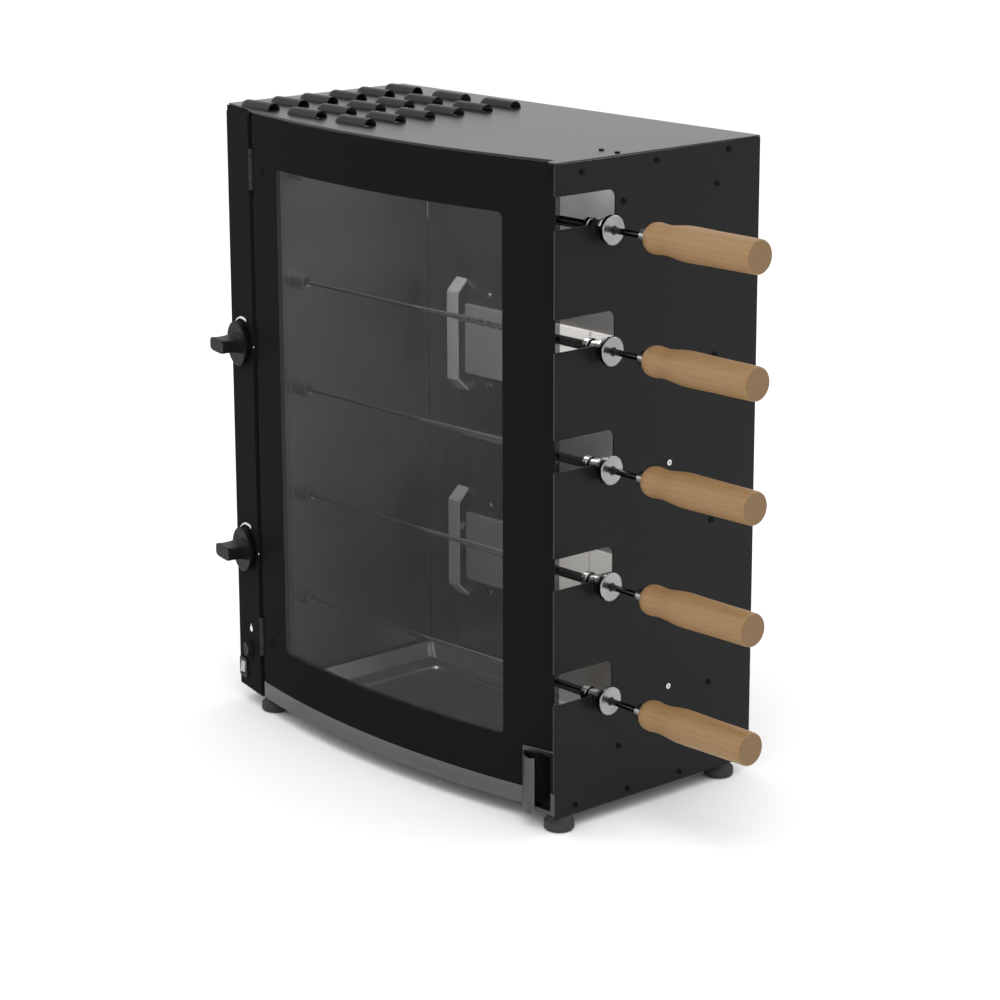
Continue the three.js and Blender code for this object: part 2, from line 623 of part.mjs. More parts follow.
// Door leaf: a strap behind the glass that ends in a barrel round the hinge pin
function doorHingeLeaf(z) {
  const half = HINGE_LENGTH / 2;
  const barrel = rod("z", HINGE_RADIUS, z - half + 8, z + half - 8, HINGE_X, HINGE_Y, 16);
  const bore = rod("z", 1.3, z - half, z + half, HINGE_X, HINGE_Y, 12);
  const strap = frontStrip(HINGE_X + 5, 94, GLASS + GAP, GLASS + GAP + SHEET,
    z - half + 8.5, z + half - 8.5, 4);
  const bend = box(HINGE_X + 1.8, HINGE_X + 3.5, HINGE_Y, 21.4, z - half + 8.5, z + half - 8.5);
  const foot = box(HINGE_X + 1.8, HINGE_X + 6, 19.9, 21.4, z - half + 8.5, z + half - 8.5);
  return cut(join(barrel, bend, foot, strap), bore);
}

// Cabinet leaf: two end knuckles and the pin, on a plate screwed to the jamb
function cabinetHingeLeaf(z) {
  const half = HINGE_LENGTH / 2;
  const knuckles = [[z - half, z - half + 7.7], [z + half - 7.7, z + half]].map(([low, high]) =>
    rod("z", HINGE_RADIUS, low, high, HINGE_X, HINGE_Y, 16));
  const pin = rod("z", 1, z - half, z + half, HINGE_X, HINGE_Y, 12);
  const ears = [z - half, z + half - 7.7].map((low) =>
    box(HINGE_X - 1.4, HINGE_X + 0.2, HINGE_Y, 23.4, low, low + 7.7));
  const plate = box(HINGE_X - 1.4, HINGE_X + 7, LINER_FRONT - GAP - SHEET, LINER_FRONT - GAP,
    z - half, z + half);
  return join(...knuckles, pin, ...ears, plate);
}

// ---------- skewers ----------

function skewerRod(index) {
  const z = skewerZ(index);
  const metal = turned([
    [-24, 0], [-24, 3], [-20.5, 3], [-20.5, 6.5], [-14.5, 6.5], [-14.5, 5.4], [-7, 5.4],
    [-5.5, 8], [1.6, 8], [3, 9], [7, 13.4], [8.6, 15], [12.4, 15], [13.6, 13.6], [13.6, 3],
    [50, 3], [50, 5], [52, 7], [59.6, 7], [59.6, 2.6], [104, 2.6], [104, 0]], 12)
    .translate(WIDTH, SKEWER_Y, z);
  const bladeEnd = WIDTH - 21;
  const blade = rod("x", 1.4, BLADE_TIP_X, bladeEnd, 0, 0, 4, 4.2)
    .scale(1, 0.5, 1).translate(0, SKEWER_Y, z);
  const tang = rod("x", TANG_RADIUS, TANG_END_X, BLADE_TIP_X + 60, SKEWER_Y, z, 10);
  return join(metal, blade, tang);
}

function skewerHandle(index) {
  const outer = new THREE.SplineCurve([[60, 6], [62, 11.6], [67, 14.2], [74, 14.7], [88, 13.9],
    [101, 15.2], [116, 16.3], [140, 15.9], [188, 15.7]].map(([x, r]) => new THREE.Vector2(x, r)));
  const contour = outer.getPoints(9).map(({ x, y }) => [x, y]);
  return turned([[106, 0], [106, 3.1], [60, 3.1], ...contour, [193, 15.2], [195, 13.4], [195, 0]], 14)
    .translate(WIDTH, SKEWER_Y, skewerZ(index));
}

// ---------- tray and feet ----------

function dripTray() {
  const x0 = 74;
  const x1 = WIDTH - 8;
  const y0 = 30;
  const y1 = 230;
  const floor = 3;
  const rim = 21;
  const slope = 22;
  const wall = 1.2;
  const bowl = (inset, low, high) => {
    const spread = slope - inset;
    const geometry = new THREE.BoxGeometry(1, 1, 1);
    const position = geometry.attributes.position;
    for (let i = 0; i < position.count; i += 1) {
      const upper = position.getZ(i) > 0;
      const back = upper ? inset : inset + spread;
      const px = position.getX(i) > 0 ? x1 - back : x0 + back;
      const py = position.getY(i) > 0 ? y1 - back * 0.5 : y0 + back * 0.5;
      position.setXYZ(i, px, py, upper ? high : low);
    }
    return geometry;
  };
  const flange = box(x0 - 4, x1 + 3, y0 - 3, y1 + 4, rim - wall, rim);
  return cut(join(bowl(0, floor, rim), flange), bowl(wall * 1.5, floor + wall, rim + 1));
}

function foot(x, y) {
  return new THREE.LatheGeometry([[0, -FOOT_HEIGHT], [12.5, -FOOT_HEIGHT],
    [FOOT_RADIUS, -FOOT_HEIGHT + 2], [FOOT_RADIUS, -6], [12, -4], [10.5, -GAP], [0, -GAP]]
    .map(([r, z]) => new THREE.Vector2(r, z)), 24).rotateX(Math.PI / 2).translate(x, y, 0);
}

function mainsGland() {
  const collar = rod("y", 9, DEPTH + GAP, DEPTH + 4, GLAND.x, GLAND.z, 6);
  const nose = rod("y", 6.5, DEPTH + 3, DEPTH + 13, GLAND.x, GLAND.z, 16, 5);
  const thread = rod("y", 5.6, DEPTH - 12, DEPTH + 1, GLAND.x, GLAND.z, 16);
  const bore = rod("y", 3.4, DEPTH - 20, DEPTH + 20, GLAND.x, GLAND.z, 12);
  return cut(join(collar, nose, thread), bore);
}

// ---------- assembly ----------

piece(cabinet, "base_pan", "blackPaint", basePan());
piece(cabinet, "right_side_panel", "blackPaint", rightSidePanel());
piece(cabinet, "left_side_panel", "blackPaint",
  box(0, SHEET, PANEL_LEFT_Y + 2, DEPTH, 0, HEIGHT - SHEET - GAP));
piece(cabinet, "back_panel", "blackPaint", backPanel());
piece(cabinet, "top_panel", "blackPaint", topPanel());
piece(cabinet, "inner_left_wall", "galvanised", innerLeftWall());
piece(cabinet, "chamber_back_wall", "galvanised", chamberBackWall());
piece(panelFrame, "control_panel", "controlPaint", controlPanel());

for (const level of ["upper", "lower"]) {
  const knobZ = KNOB_HEIGHTS[level];
  const burnerZ = BURNER_HEIGHTS[level];
  const hingeZ = HINGE_HEIGHTS[level];
  piece(panelFrame, `${level}_gas_valve`, "brass", gasValve(knobZ));
  piece(panelFrame, `${level}_valve_stem`, "darkSteel", valveStem(knobZ));
  piece(panelFrame, `${level}_knob`, "blackPlastic", knob(knobZ));
  piece(cabinet, `${level}_burner_body`, "darkSteel", burnerBody(burnerZ));
  piece(cabinet, `${level}_burner_plaque`, "ceramic", ceramicPlaque(burnerZ));
  piece(cabinet, `${level}_burner_guard`, "chrome", burnerGuard(burnerZ + 3));
  piece(cabinet, `${level}_spark_electrode`, "ceramic", electrode(burnerZ + ELECTRODE_RISE));
  piece(cabinet, `${level}_burner_feed`, "copper", burnerFeed(knobZ, burnerZ));
  piece(cabinet, `${level}_door_hinge_leaf`, "stainless", doorHingeLeaf(hingeZ));
  piece(cabinet, `${level}_cabinet_hinge_leaf`, "stainless", cabinetHingeLeaf(hingeZ));
}

piece(cabinet, "gas_manifold", "brass", gasManifold());
piece(cabinet, "igniter_module", "blackPlastic", igniterModule());
piece(panelFrame, "ignition_button", "blackPlastic", ignitionButton());
piece(panelFrame, "switch_bezel", "blackPlastic", switchBezel());
piece(panelFrame, "rocker_switch", "greyPlastic", rockerSwitch());
piece(cabinet, "mains_gland", "blackPlastic", mainsGland());

piece(cabinet, "gear_motor", "darkSteel", gearMotor());
piece(cabinet, "motor_sprocket", "darkSteel", motorSprocket());
piece(cabinet, "drive_chain", "darkSteel", driveChain());

for (let index = 0; index < SKEWER_COUNT; index += 1) {
  piece(cabinet, `drive_socket_${index + 1}`, "darkSteel", driveSocket(index));
  piece(cabinet, `skewer_rod_${index + 1}`, "chrome", skewerRod(index));
  piece(cabinet, `skewer_handle_${index + 1}`, "beech", skewerHandle(index));
}

piece(cabinet, "door_glass", "glass", doorGlass());
piece(cabinet, "door_rail", "anodised", doorRail());
piece(cabinet, "door_handle", "anodised", doorHandle());
piece(cabinet, "drip_tray", "stainless", dripTray());

const feet = {
  front_left_foot: [60, 28], front_right_foot: [515, 15],
  back_left_foot: [60, 236], back_right_foot: [513, 232],
};
for (const [name, [x, y]] of Object.entries(feet)) {
  piece(cabinet, name, "rubber", foot(x, y));
}

export default oven;
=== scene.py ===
"""Looks of the rotisserie oven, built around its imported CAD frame. Lengths in the helpers are in
millimetres in the cabinet's own frame: X = 0 left side, Y = 0 front edge of the right side, Z = 0 floor."""
import math

import bmesh
import bpy
from mathutils import Matrix, Vector


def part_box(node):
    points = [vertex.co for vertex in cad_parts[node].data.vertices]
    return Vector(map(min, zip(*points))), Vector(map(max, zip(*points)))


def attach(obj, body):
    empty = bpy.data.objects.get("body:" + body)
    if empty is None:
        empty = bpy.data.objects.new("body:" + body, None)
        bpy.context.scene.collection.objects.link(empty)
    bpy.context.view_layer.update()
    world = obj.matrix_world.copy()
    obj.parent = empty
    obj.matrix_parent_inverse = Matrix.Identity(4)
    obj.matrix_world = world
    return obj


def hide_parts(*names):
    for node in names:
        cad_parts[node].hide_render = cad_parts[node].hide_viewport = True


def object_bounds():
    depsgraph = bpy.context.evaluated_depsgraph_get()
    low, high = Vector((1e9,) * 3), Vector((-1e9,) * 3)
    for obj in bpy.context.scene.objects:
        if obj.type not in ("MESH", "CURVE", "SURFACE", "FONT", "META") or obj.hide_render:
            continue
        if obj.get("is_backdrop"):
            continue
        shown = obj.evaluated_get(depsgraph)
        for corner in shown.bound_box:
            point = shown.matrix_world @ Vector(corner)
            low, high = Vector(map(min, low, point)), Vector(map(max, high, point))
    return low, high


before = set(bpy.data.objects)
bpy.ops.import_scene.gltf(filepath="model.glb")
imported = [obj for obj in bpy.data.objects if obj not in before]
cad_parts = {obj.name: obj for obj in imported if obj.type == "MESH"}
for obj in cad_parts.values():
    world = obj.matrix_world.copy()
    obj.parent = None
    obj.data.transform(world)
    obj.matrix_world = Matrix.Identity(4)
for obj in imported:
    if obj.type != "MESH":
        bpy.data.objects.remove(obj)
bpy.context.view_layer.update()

MM = 0.001
ORIGIN = Vector((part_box("left_side_panel")[0][0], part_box("right_side_panel")[0][1],
                 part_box("left_side_panel")[0][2]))


def size_of(node):
    """Low and high corner of a CAD node's box, in the cabinet's own frame."""
    low, high = (Vector(c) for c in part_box(node))
    return (low - ORIGIN) / MM, (high - ORIGIN) / MM


def middle_z(node):
    low, high = size_of(node)
    return (low.z + high.z) / 2


# Sizes shared with the frame, most of them read from its boxes
SHEET = 1.5
TOP_STEP = 1.8  # from the side panel's upper edge to the top sheet's outer face
SHEET_GAP = 0.3  # between the side panel and the top sheet
WIDTH = size_of("right_side_panel")[1].x
DEPTH = size_of("back_panel")[1].y
TOP = size_of("right_side_panel")[1].z + TOP_STEP
SIDE_TOP = TOP - SHEET - SHEET_GAP
GLASS_LOW, GLASS_HIGH = size_of("door_glass")
TRAY_LOW, TRAY_HIGH = size_of("drip_tray")

# Curved front: radius, centre line and foremost point of its outer face
ARC_RADIUS, ARC_X, ARC_FRONT = 1065.0, 290.0, -10.6
PANEL_SLANT, PANEL_LEFT_Y = math.radians(13), 27.0
CONTROL_U = 30.0  # the controls' centre line along the slanted panel
HINGE_X, HINGE_Y = 57.0, 15.5

LEVELS = ("upper", "lower")
KNOBS = {level: middle_z(f"{level}_knob") for level in LEVELS}
BURNERS = {level: middle_z(f"{level}_burner_plaque") for level in LEVELS}
HINGES = {level: middle_z(f"{level}_door_hinge_leaf") for level in LEVELS}
SKEWERS = {i: middle_z(f"skewer_rod_{i}") for i in range(1, 6)}
SKEWER_Y = 59.2
SLOT_DEPTH, SLOT_LOW, SLOT_HIGH, SEAT_RADIUS = 73.5, 4.7, 34.7, 8.7
AXIS = 0.01  # radius at which a turned profile closes on its axis


def front_y(x, inset=0.0):
    """Y of the curved front at x, this far inside its outer face."""
    reach = ARC_RADIUS - inset
    return ARC_FRONT + ARC_RADIUS - math.sqrt(reach ** 2 - (x - ARC_X) ** 2)


def at(x, y, z):
    return ORIGIN + Vector((x, y, z)) * MM


def on_front(x, inset, z):
    return at(x, front_y(x, inset), z)


def on_panel(u, v, z):
    """Point of the slanted control panel: u along it, v into it."""
    c, s = math.cos(PANEL_SLANT), math.sin(PANEL_SLANT)
    return at(u * c + v * s, PANEL_LEFT_Y - u * s + v * c, z)


# ---------------------------------------------------------------- materials

EDGE_WEAR_AND_HIGHLIGHT = (0.55, 0.64)  # pointiness at which edge wear and the painted edge highlight begin and are full


class Nodes:
    """A short way to build a node tree."""

    def __init__(self, name):
        self.material = bpy.data.materials.new(name)
        self.material.use_nodes = True
        self.tree = self.material.node_tree
        self.shader = self.tree.nodes["Principled BSDF"]
        self.output = self.tree.nodes["Material Output"]
        self.place = self.add("ShaderNodeTexCoord").outputs["Object"]

    def add(self, kind, **settings):
        node = self.tree.nodes.new(kind)
        for key, value in settings.items():
            setattr(node, key, value)
        return node

    def link(self, source, target):
        self.tree.links.new(source, target)

    def set(self, **values):
        for key, value in values.items():
            self.shader.inputs[key.replace("_", " ")].default_value = value

    def mapped(self, scale, shift=(0, 0, 0)):
        node = self.add("ShaderNodeMapping")
        self.link(self.place, node.inputs["Vector"])
        node.inputs["Scale"].default_value = scale
        node.inputs["Location"].default_value = shift
        return node.outputs["Vector"]

    def noise(self, scale, detail=4.0, stretch=(1, 1, 1), roughness=0.55):
        node = self.add("ShaderNodeTexNoise")
        self.link(self.mapped(stretch), node.inputs["Vector"])
        node.inputs["Scale"].default_value = scale
        node.inputs["Detail"].default_value = detail
        node.inputs["Roughness"].default_value = roughness
        return node.outputs[0]

    def ramp(self, value, stops):
        node = self.add("ShaderNodeValToRGB")
        self.link(value, node.inputs["Fac"])
        elements = node.color_ramp.elements
        while len(elements) < len(stops):
            elements.new(0.5)
        for element, (position, colour) in zip(elements, stops):
            element.position = position
            element.color = (*colour, 1.0) if len(colour) == 3 else colour
        return node.outputs["Color"]

    def remap(self, value, low, high, start=0.0, end=1.0):
        node = self.add("ShaderNodeMapRange")
        self.link(value, node.inputs["Value"])
        for key, number in (("From Min", start), ("From Max", end), ("To Min", low), ("To Max", high)):
            node.inputs[key].default_value = number
        return node.outputs["Result"]

    def mix(self, factor, first, second):
        node = self.add("ShaderNodeMix", data_type="RGBA")
        for socket, value in ((node.inputs[0], factor), (node.inputs[6], first), (node.inputs[7], second)):
            if hasattr(value, "links"):
                self.link(value, socket)
            else:
                socket.default_value = value if isinstance(value, (int, float)) else (*value, 1.0)
        return node.outputs[2]

    def math(self, operation, first, second):
        node = self.add("ShaderNodeMath", operation=operation)
        for socket, value in zip(node.inputs, (first, second)):
            if hasattr(value, "links"):
                self.link(value, socket)
            else:
                socket.default_value = value
        return node.outputs[0]

    def bump(self, height, strength, distance):
        node = self.add("ShaderNodeBump")
        node.inputs["Strength"].default_value = strength
        node.inputs["Distance"].default_value = distance
        self.link(height, node.inputs["Height"])
        if self.shader.inputs["Normal"].links:
            self.link(self.shader.inputs["Normal"].links[0].from_socket, node.inputs["Normal"])
        self.link(node.outputs["Normal"], self.shader.inputs["Normal"])

    def edges(self):
        """1 on outer edges, 0 elsewhere: worn edges on coated parts, a painted highlight on brushed metal.
        """
        node = self.add("ShaderNodeNewGeometry")
        return self.remap(node.outputs["Pointiness"], 0.0, 1.0, *EDGE_WEAR_AND_HIGHLIGHT)


# Painted shade: the dark colour on the chamber wall's front flange, in the shaded gap beside the door.
FLANGE_SHADE_COLOUR = (0.009, 0.009, 0.0092)
FLANGE_SHADE_FADE = 0.0004  # metres over which the painted shade ends
WALL_FLANGE_BACK = 25.8  # mm, just behind the front flange of the chamber's left wall, which takes painted shade


def coated(name, dark, light, rough, specular, grain=900.0, grain_depth=0.00004, wear=0.03):
    """Powder coat or moulded plastic: faint cloud in its colour, orange-peel grain, paler edges."""
    m = Nodes(name)
    colour = m.ramp(m.noise(2.5, 1.0), [(0.2, dark), (0.8, light)])
    if wear:
        worn = m.math("MULTIPLY", m.edges(), m.remap(m.noise(60.0, 3.0), 0.0, 0.6, 0.35, 0.75))
        colour = m.mix(worn, colour, tuple(c + wear for c in light))
    m.link(colour, m.shader.inputs["Base Color"])
    m.link(m.remap(m.noise(3.0, 1.0), rough - 0.005, rough + 0.008, 0.3, 0.7),
           m.shader.inputs["Roughness"])
    m.bump(m.noise(grain, 2.0), 0.08, grain_depth)
    m.set(Specular_IOR_Level=specular)
    return m.material


def brushed(name, dark, light, rough, stretch, scale=30.0, depth=0.00002, anisotropic=0.4,
            stain=None, metal=1.0, shade_to=None):
    """Rolled or brushed metal with long fine lines, smudges and a little painted highlight on its outer
    edges.

    In front of the place given as its last argument, along the object's own Y, the sheet takes a dark
    colour: painted shade.
    """
    m = Nodes(name)
    lines = m.noise(scale, 6.0, stretch, 0.7)
    colour = m.ramp(lines, [(0.25, dark), (0.75, light)])
    if stain:
        cloud = m.remap(m.noise(9.0, 6.0), 0.0, 1.0, 0.45, 0.72)
        colour = m.mix(cloud, colour, stain)
    # Painted highlight: the outer edges are painted lighter.
    colour = m.mix(m.edges(), colour, tuple(min(1.0, c * 1.15) for c in light))
    # Painted shade: dark colour on the sheet in front of the given place.
    if shade_to is not None:
        axes = m.add("ShaderNodeSeparateXYZ")
        m.link(m.place, axes.inputs[0])
        painted = m.remap(axes.outputs["Y"], 1.0, 0.0, shade_to, shade_to + FLANGE_SHADE_FADE)
        colour = m.mix(painted, colour, FLANGE_SHADE_COLOUR)
    m.link(colour, m.shader.inputs["Base Color"])
    smudge = m.remap(m.noise(10.0, 3.0), rough * 0.9, rough * 1.15, 0.3, 0.7)
    m.link(smudge, m.shader.inputs["Roughness"])
    m.bump(lines, 0.25, depth)
    m.set(Metallic=metal, Anisotropic=anisotropic)
    return m.material


def beech(name, shade):
    """Turned beech; shade darkens it all over, as painted shade on a grip's end face."""
    def tone(*colour):
        return tuple(c * shade for c in colour)

    m = Nodes(name)
    warp = m.noise(5.0, 3.0, (0.35, 1, 1))
    wave = m.add("ShaderNodeTexWave", wave_type="RINGS", rings_direction="X", wave_profile="SIN")
    m.link(m.mapped((0.5, 1, 1), (0, 0.09, 0.03)), wave.inputs["Vector"])
    for key, number in (("Scale", 60.0), ("Distortion", 5.0), ("Detail", 3.0), ("Detail Scale", 1.2)):
        wave.inputs[key].default_value = number
    rings = m.math("ADD", m.math("MULTIPLY", wave.outputs["Fac"], 0.45), m.math("MULTIPLY", warp, 0.55))
    body = m.ramp(rings, [(0.2, tone(0.214, 0.12, 0.047)), (0.5, tone(0.23, 0.133, 0.054)),
                          (0.8, tone(0.246, 0.146, 0.061))])
    fibres = m.noise(90.0, 6.0, (0.045, 1, 1), 0.75)
    colour = m.mix(m.remap(fibres, 0.0, 0.55, 0.42, 0.75), body, tone(0.265, 0.16, 0.068))
    pores = m.remap(m.noise(420.0, 2.0, (0.05, 1, 1)), 0.0, 0.5, 0.6, 0.75)
    colour = m.mix(pores, colour, tone(0.185, 0.103, 0.041))
    colour = m.mix(m.remap(m.noise(2.5, 2.0), 0.0, 0.35), colour, tone(0.205, 0.115, 0.046))
    m.link(colour, m.shader.inputs["Base Color"])
    m.link(m.remap(fibres, 0.42, 0.62, 0.3, 0.7), m.shader.inputs["Roughness"])
    m.bump(fibres, 0.3, 0.00012)
    m.bump(pores, -0.4, 0.0001)
    m.set(Specular_IOR_Level=0.35, Coat_Weight=0.08, Coat_Roughness=0.35)
    return m.material


def plated(name, dark, light, rough):
    """Chrome or bright nickel with faint drawing lines and handling marks."""
    m = Nodes(name)
    lines = m.noise(55.0, 5.0, (0.06, 1, 1), 0.7)
    colour = m.ramp(lines, [(0.3, dark), (0.7, light)])
    m.link(colour, m.shader.inputs["Base Color"])
    m.link(m.remap(m.noise(40.0, 5.0), rough * 0.7, rough * 1.6, 0.3, 0.7),
           m.shader.inputs["Roughness"])
    m.bump(m.noise(300.0, 3.0), 0.08, 0.00003)
    m.set(Metallic=1.0)
    return m.material


FACE_ON_MIRROR, MIRROR_RISE = 0.04, 5.0  # mirrored share face on, and how late it rises with the angle


def tinted_glass(name, through, gloss):
    """Smoked float glass: lets part of the light straight through, and mirrors more at a low angle."""
    m = Nodes(name)
    clear = m.add("ShaderNodeBsdfTransparent")
    paler = tuple(min(1.0, c * 1.06) for c in through)
    m.link(m.ramp(m.noise(4.0, 3.0), [(0.3, through), (0.7, paler)]), clear.inputs["Color"])
    weight = m.add("ShaderNodeLayerWeight")
    weight.inputs["Blend"].default_value = 0.5
    share = m.remap(m.math("POWER", weight.outputs["Facing"], MIRROR_RISE), FACE_ON_MIRROR, 1.0)
    mirror = m.add("ShaderNodeBsdfGlossy")
    mirror.inputs["Roughness"].default_value = 0.04
    m.link(m.ramp(m.noise(7.0, 4.0), [(0.2, (gloss,) * 3), (0.8, (gloss * 0.94,) * 3)]),
           mirror.inputs["Color"])
    mixer = m.add("ShaderNodeMixShader")
    for number, source in enumerate((share, clear.outputs[0], mirror.outputs[0])):
        m.link(source, mixer.inputs[number])
    m.link(mixer.outputs[0], m.output.inputs["Surface"])
    return m.material


def ceramic():
    """Burner face: pale fired clay with heat stains and rows of fine holes, painted dark as the shade inside
    them.
    """
    m = Nodes("burner_ceramic")
    cells = m.add("ShaderNodeTexVoronoi", feature="F1")
    m.link(m.mapped((1, 0.02, 1)), cells.inputs["Vector"])
    cells.inputs["Scale"].default_value = 420.0
    cells.inputs["Randomness"].default_value = 0.0
    hole = m.remap(cells.outputs["Distance"], 1.0, 0.0, 0.18, 0.34)
    stain = m.remap(m.noise(18.0, 5.0), 0.0, 0.8, 0.4, 0.7)
    clay = m.mix(stain, (0.62, 0.605, 0.57), (0.52, 0.5, 0.465))
    # Painted shade: the holes are painted dark.
    m.link(m.mix(m.math("MULTIPLY", hole, 0.75), clay, (0.06, 0.055, 0.05)),
           m.shader.inputs["Base Color"])
    m.link(m.remap(stain, 0.75, 0.9), m.shader.inputs["Roughness"])
    m.bump(hole, -0.6, 0.0004)
    return m.material


def printed(name, colour, rough):
    """Screen print, a little uneven in its cover."""
    m = Nodes(name)
    m.link(m.ramp(m.noise(300.0, 3.0), [(0.35, tuple(c * 0.82 for c in colour)), (0.6, colour)]),
           m.shader.inputs["Base Color"])
    m.link(m.remap(m.noise(80.0, 2.0), rough - 0.06, rough + 0.06, 0.3, 0.7),
           m.shader.inputs["Roughness"])
    return m.material


BLACK_PAINT = coated("black_paint", (0.0085, 0.0085, 0.0088), (0.0102, 0.0102, 0.0105), 0.34, 0.1,
                     wear=0.0)
TOP_PAINT = coated("top_paint", (0.0085, 0.0085, 0.009), (0.0105, 0.0105, 0.011), 0.32, 0.31)
HOOD_PAINT = coated("hood_paint", (0.0085, 0.0085, 0.009), (0.0105, 0.0105, 0.011), 0.36, 0.16)
CONTROL_PAINT = coated("control_paint", (0.0084, 0.0084, 0.0087), (0.0095, 0.0095, 0.0098), 0.6, 0.008,
                       1400.0, wear=0.0)
FRIT = coated("black_frit", (0.0082, 0.0082, 0.0085), (0.0092, 0.0092, 0.0095), 0.4, 0.003,
              1800.0, 0.00001, 0.0)
KNOB_PLASTIC = coated("knob_plastic", (0.004, 0.004, 0.0042), (0.0055, 0.0055, 0.0058), 0.42, 0.08, 1600.0)
DARK_PLASTIC = coated("dark_plastic", (0.008, 0.008, 0.0083), (0.011, 0.011, 0.0113), 0.5, 0.2, 1600.0)
GREY_PLASTIC = coated("grey_plastic", (0.3, 0.3, 0.3), (0.36, 0.36, 0.36), 0.48, 0.4, 1500.0, 0.00004, 0.08)
RUBBER = coated("rubber", (0.026, 0.026, 0.027), (0.036, 0.036, 0.037), 0.78, 0.3, 700.0, 0.0001)
HEM = brushed("hem_metal", (0.035, 0.035, 0.036), (0.05, 0.05, 0.05), 0.4, (1, 1, 0.05))
HANDLE_METAL = brushed("handle_metal", (0.07, 0.07, 0.072), (0.095, 0.095, 0.098), 0.38, (0.04, 1, 1),
                       45.0)
ANODISED = brushed("anodised", (0.1, 0.1, 0.103), (0.135, 0.135, 0.138), 0.4, (0.04, 1, 1), 45.0)
GALVANISED = brushed("galvanised", (0.4, 0.395, 0.385), (0.55, 0.54, 0.53), 0.36, (1, 1, 0.08), 18.0,
                     0.00003, 0.2, (0.33, 0.31, 0.29))
# The chamber's left wall: a darker copy of the galvanised sheet as painted shade, with black painted shade
# on its front flange.
SHADED_WALL = brushed("shaded_wall", (0.25, 0.246, 0.24), (0.34, 0.334, 0.325), 0.4, (1, 1, 0.08), 18.0,
                      0.00003, 0.2, (0.22, 0.21, 0.195), shade_to=at(0, WALL_FLANGE_BACK, 0).y)
STAINLESS = brushed("stainless", (0.44, 0.43, 0.42), (0.62, 0.605, 0.59), 0.24, (0.05, 1, 1), 35.0,
                    metal=0.72)
CHROME = plated("chrome", (0.26, 0.26, 0.258), (0.34, 0.34, 0.337), 0.2)
# Painted reflection: chrome painted dark where it mirrors dark surroundings; on the blades it stands for
# painted shade.
DARK_REFLECTION_CHROME = plated("chrome_dark_reflection", (0.028, 0.028, 0.029), (0.05, 0.05, 0.051), 0.18)
GUARD = brushed("guard_plate", (0.8, 0.785, 0.76), (0.9, 0.885, 0.86), 0.3, (1, 1, 0.05), 40.0,
                metal=0.12)
BLADE = brushed("blade_steel", (0.42, 0.415, 0.41), (0.58, 0.575, 0.57), 0.26, (0.05, 1, 1), 50.0,
                metal=0.6)
TANG = brushed("tang_steel", (0.2, 0.197, 0.192), (0.28, 0.276, 0.27), 0.4, (0.05, 1, 1), 40.0)
DARK_STEEL = brushed("dark_steel", (0.09, 0.09, 0.092), (0.15, 0.15, 0.155), 0.42, (1, 1, 1), 40.0)
BRASS = brushed("brass", (0.42, 0.3, 0.12), (0.58, 0.43, 0.2), 0.34, (1, 1, 0.2), 40.0)
COPPER = brushed("copper", (0.4, 0.19, 0.1), (0.56, 0.29, 0.17), 0.34, (1, 1, 0.2), 40.0)
SCREW = brushed("screw_steel", (0.008, 0.008, 0.0085), (0.014, 0.014, 0.0145), 0.4, (1, 1, 1), 200.0)
BRIGHT_SCREW = brushed("bright_screw", (0.5, 0.5, 0.5), (0.7, 0.7, 0.7), 0.26, (1, 1, 1), 200.0)
SMOKED = tinted_glass("tinted_glass", (0.5, 0.5, 0.503), 0.36)
CERAMIC = ceramic()
WOOD = beech("beech", 1.04)
# Painted shade: a darker copy of the beech for the grips' end faces, which face away from the light.
SHADED_GRIP_END = beech("beech_end_shaded", 0.72)
PRINT = printed("white_print", (0.75, 0.75, 0.74), 0.55)


# ---------------------------------------------------------------- mesh helpers

def piece(name, bm, material, body, replaces=(), sharp=32.0):
    """Turns a bmesh into a named piece that rides on a body."""
    bmesh.ops.remove_doubles(bm, verts=bm.verts, dist=1e-7)
    bmesh.ops.recalc_face_normals(bm, faces=bm.faces)
    limit = math.radians(sharp)
    for edge in bm.edges:
        edge.smooth = len(edge.link_faces) == 2 and edge.calc_face_angle(0.0) < limit
    for face in bm.faces:
        face.smooth = True
    mesh = bpy.data.meshes.new(name)
    bm.to_mesh(mesh)
    bm.free()
    mesh.materials.append(material)
    made = bpy.data.objects.new(name, mesh)
    bpy.context.scene.collection.objects.link(made)
    even = made.modifiers.new("normals", "WEIGHTED_NORMAL")
    even.keep_sharp = True
    even.weight = 100
    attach(made, body)
    if replaces:
        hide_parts(*replaces)
    return made


def soften(obj, width):
    """Rounds the edges of a CAD node where two faces meet at more than 35 degrees."""
    modifier = obj.modifiers.new("edge", "BEVEL")
    modifier.width = width * MM
    modifier.segments = 2
    modifier.limit_method = "ANGLE"
    modifier.angle_limit = math.radians(35.0)
    modifier.harden_normals = False


def second_material(made, material, chosen):
    """Gives a second material to the faces whose middle has an x, in mm, that chosen picks."""
    made.data.materials.append(material)
    for face in made.data.polygons:
        face.material_index = int(chosen((face.center - ORIGIN).x / MM))


def carry(node, material, bevel=None):
    """A CAD node that shows as it is, with its own procedural material."""
    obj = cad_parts[node]
    obj.data.materials.clear()
    obj.data.materials.append(material)
    if bevel:
        soften(obj, bevel)


def merge(target, source, move=None):
    """Adds the faces of one bmesh to another."""
    mesh = bpy.data.meshes.new("part")
    source.to_mesh(mesh)
    source.free()
    if move is not None:
        mesh.transform(move)
    target.from_mesh(mesh)
    bpy.data.meshes.remove(mesh)
    return target


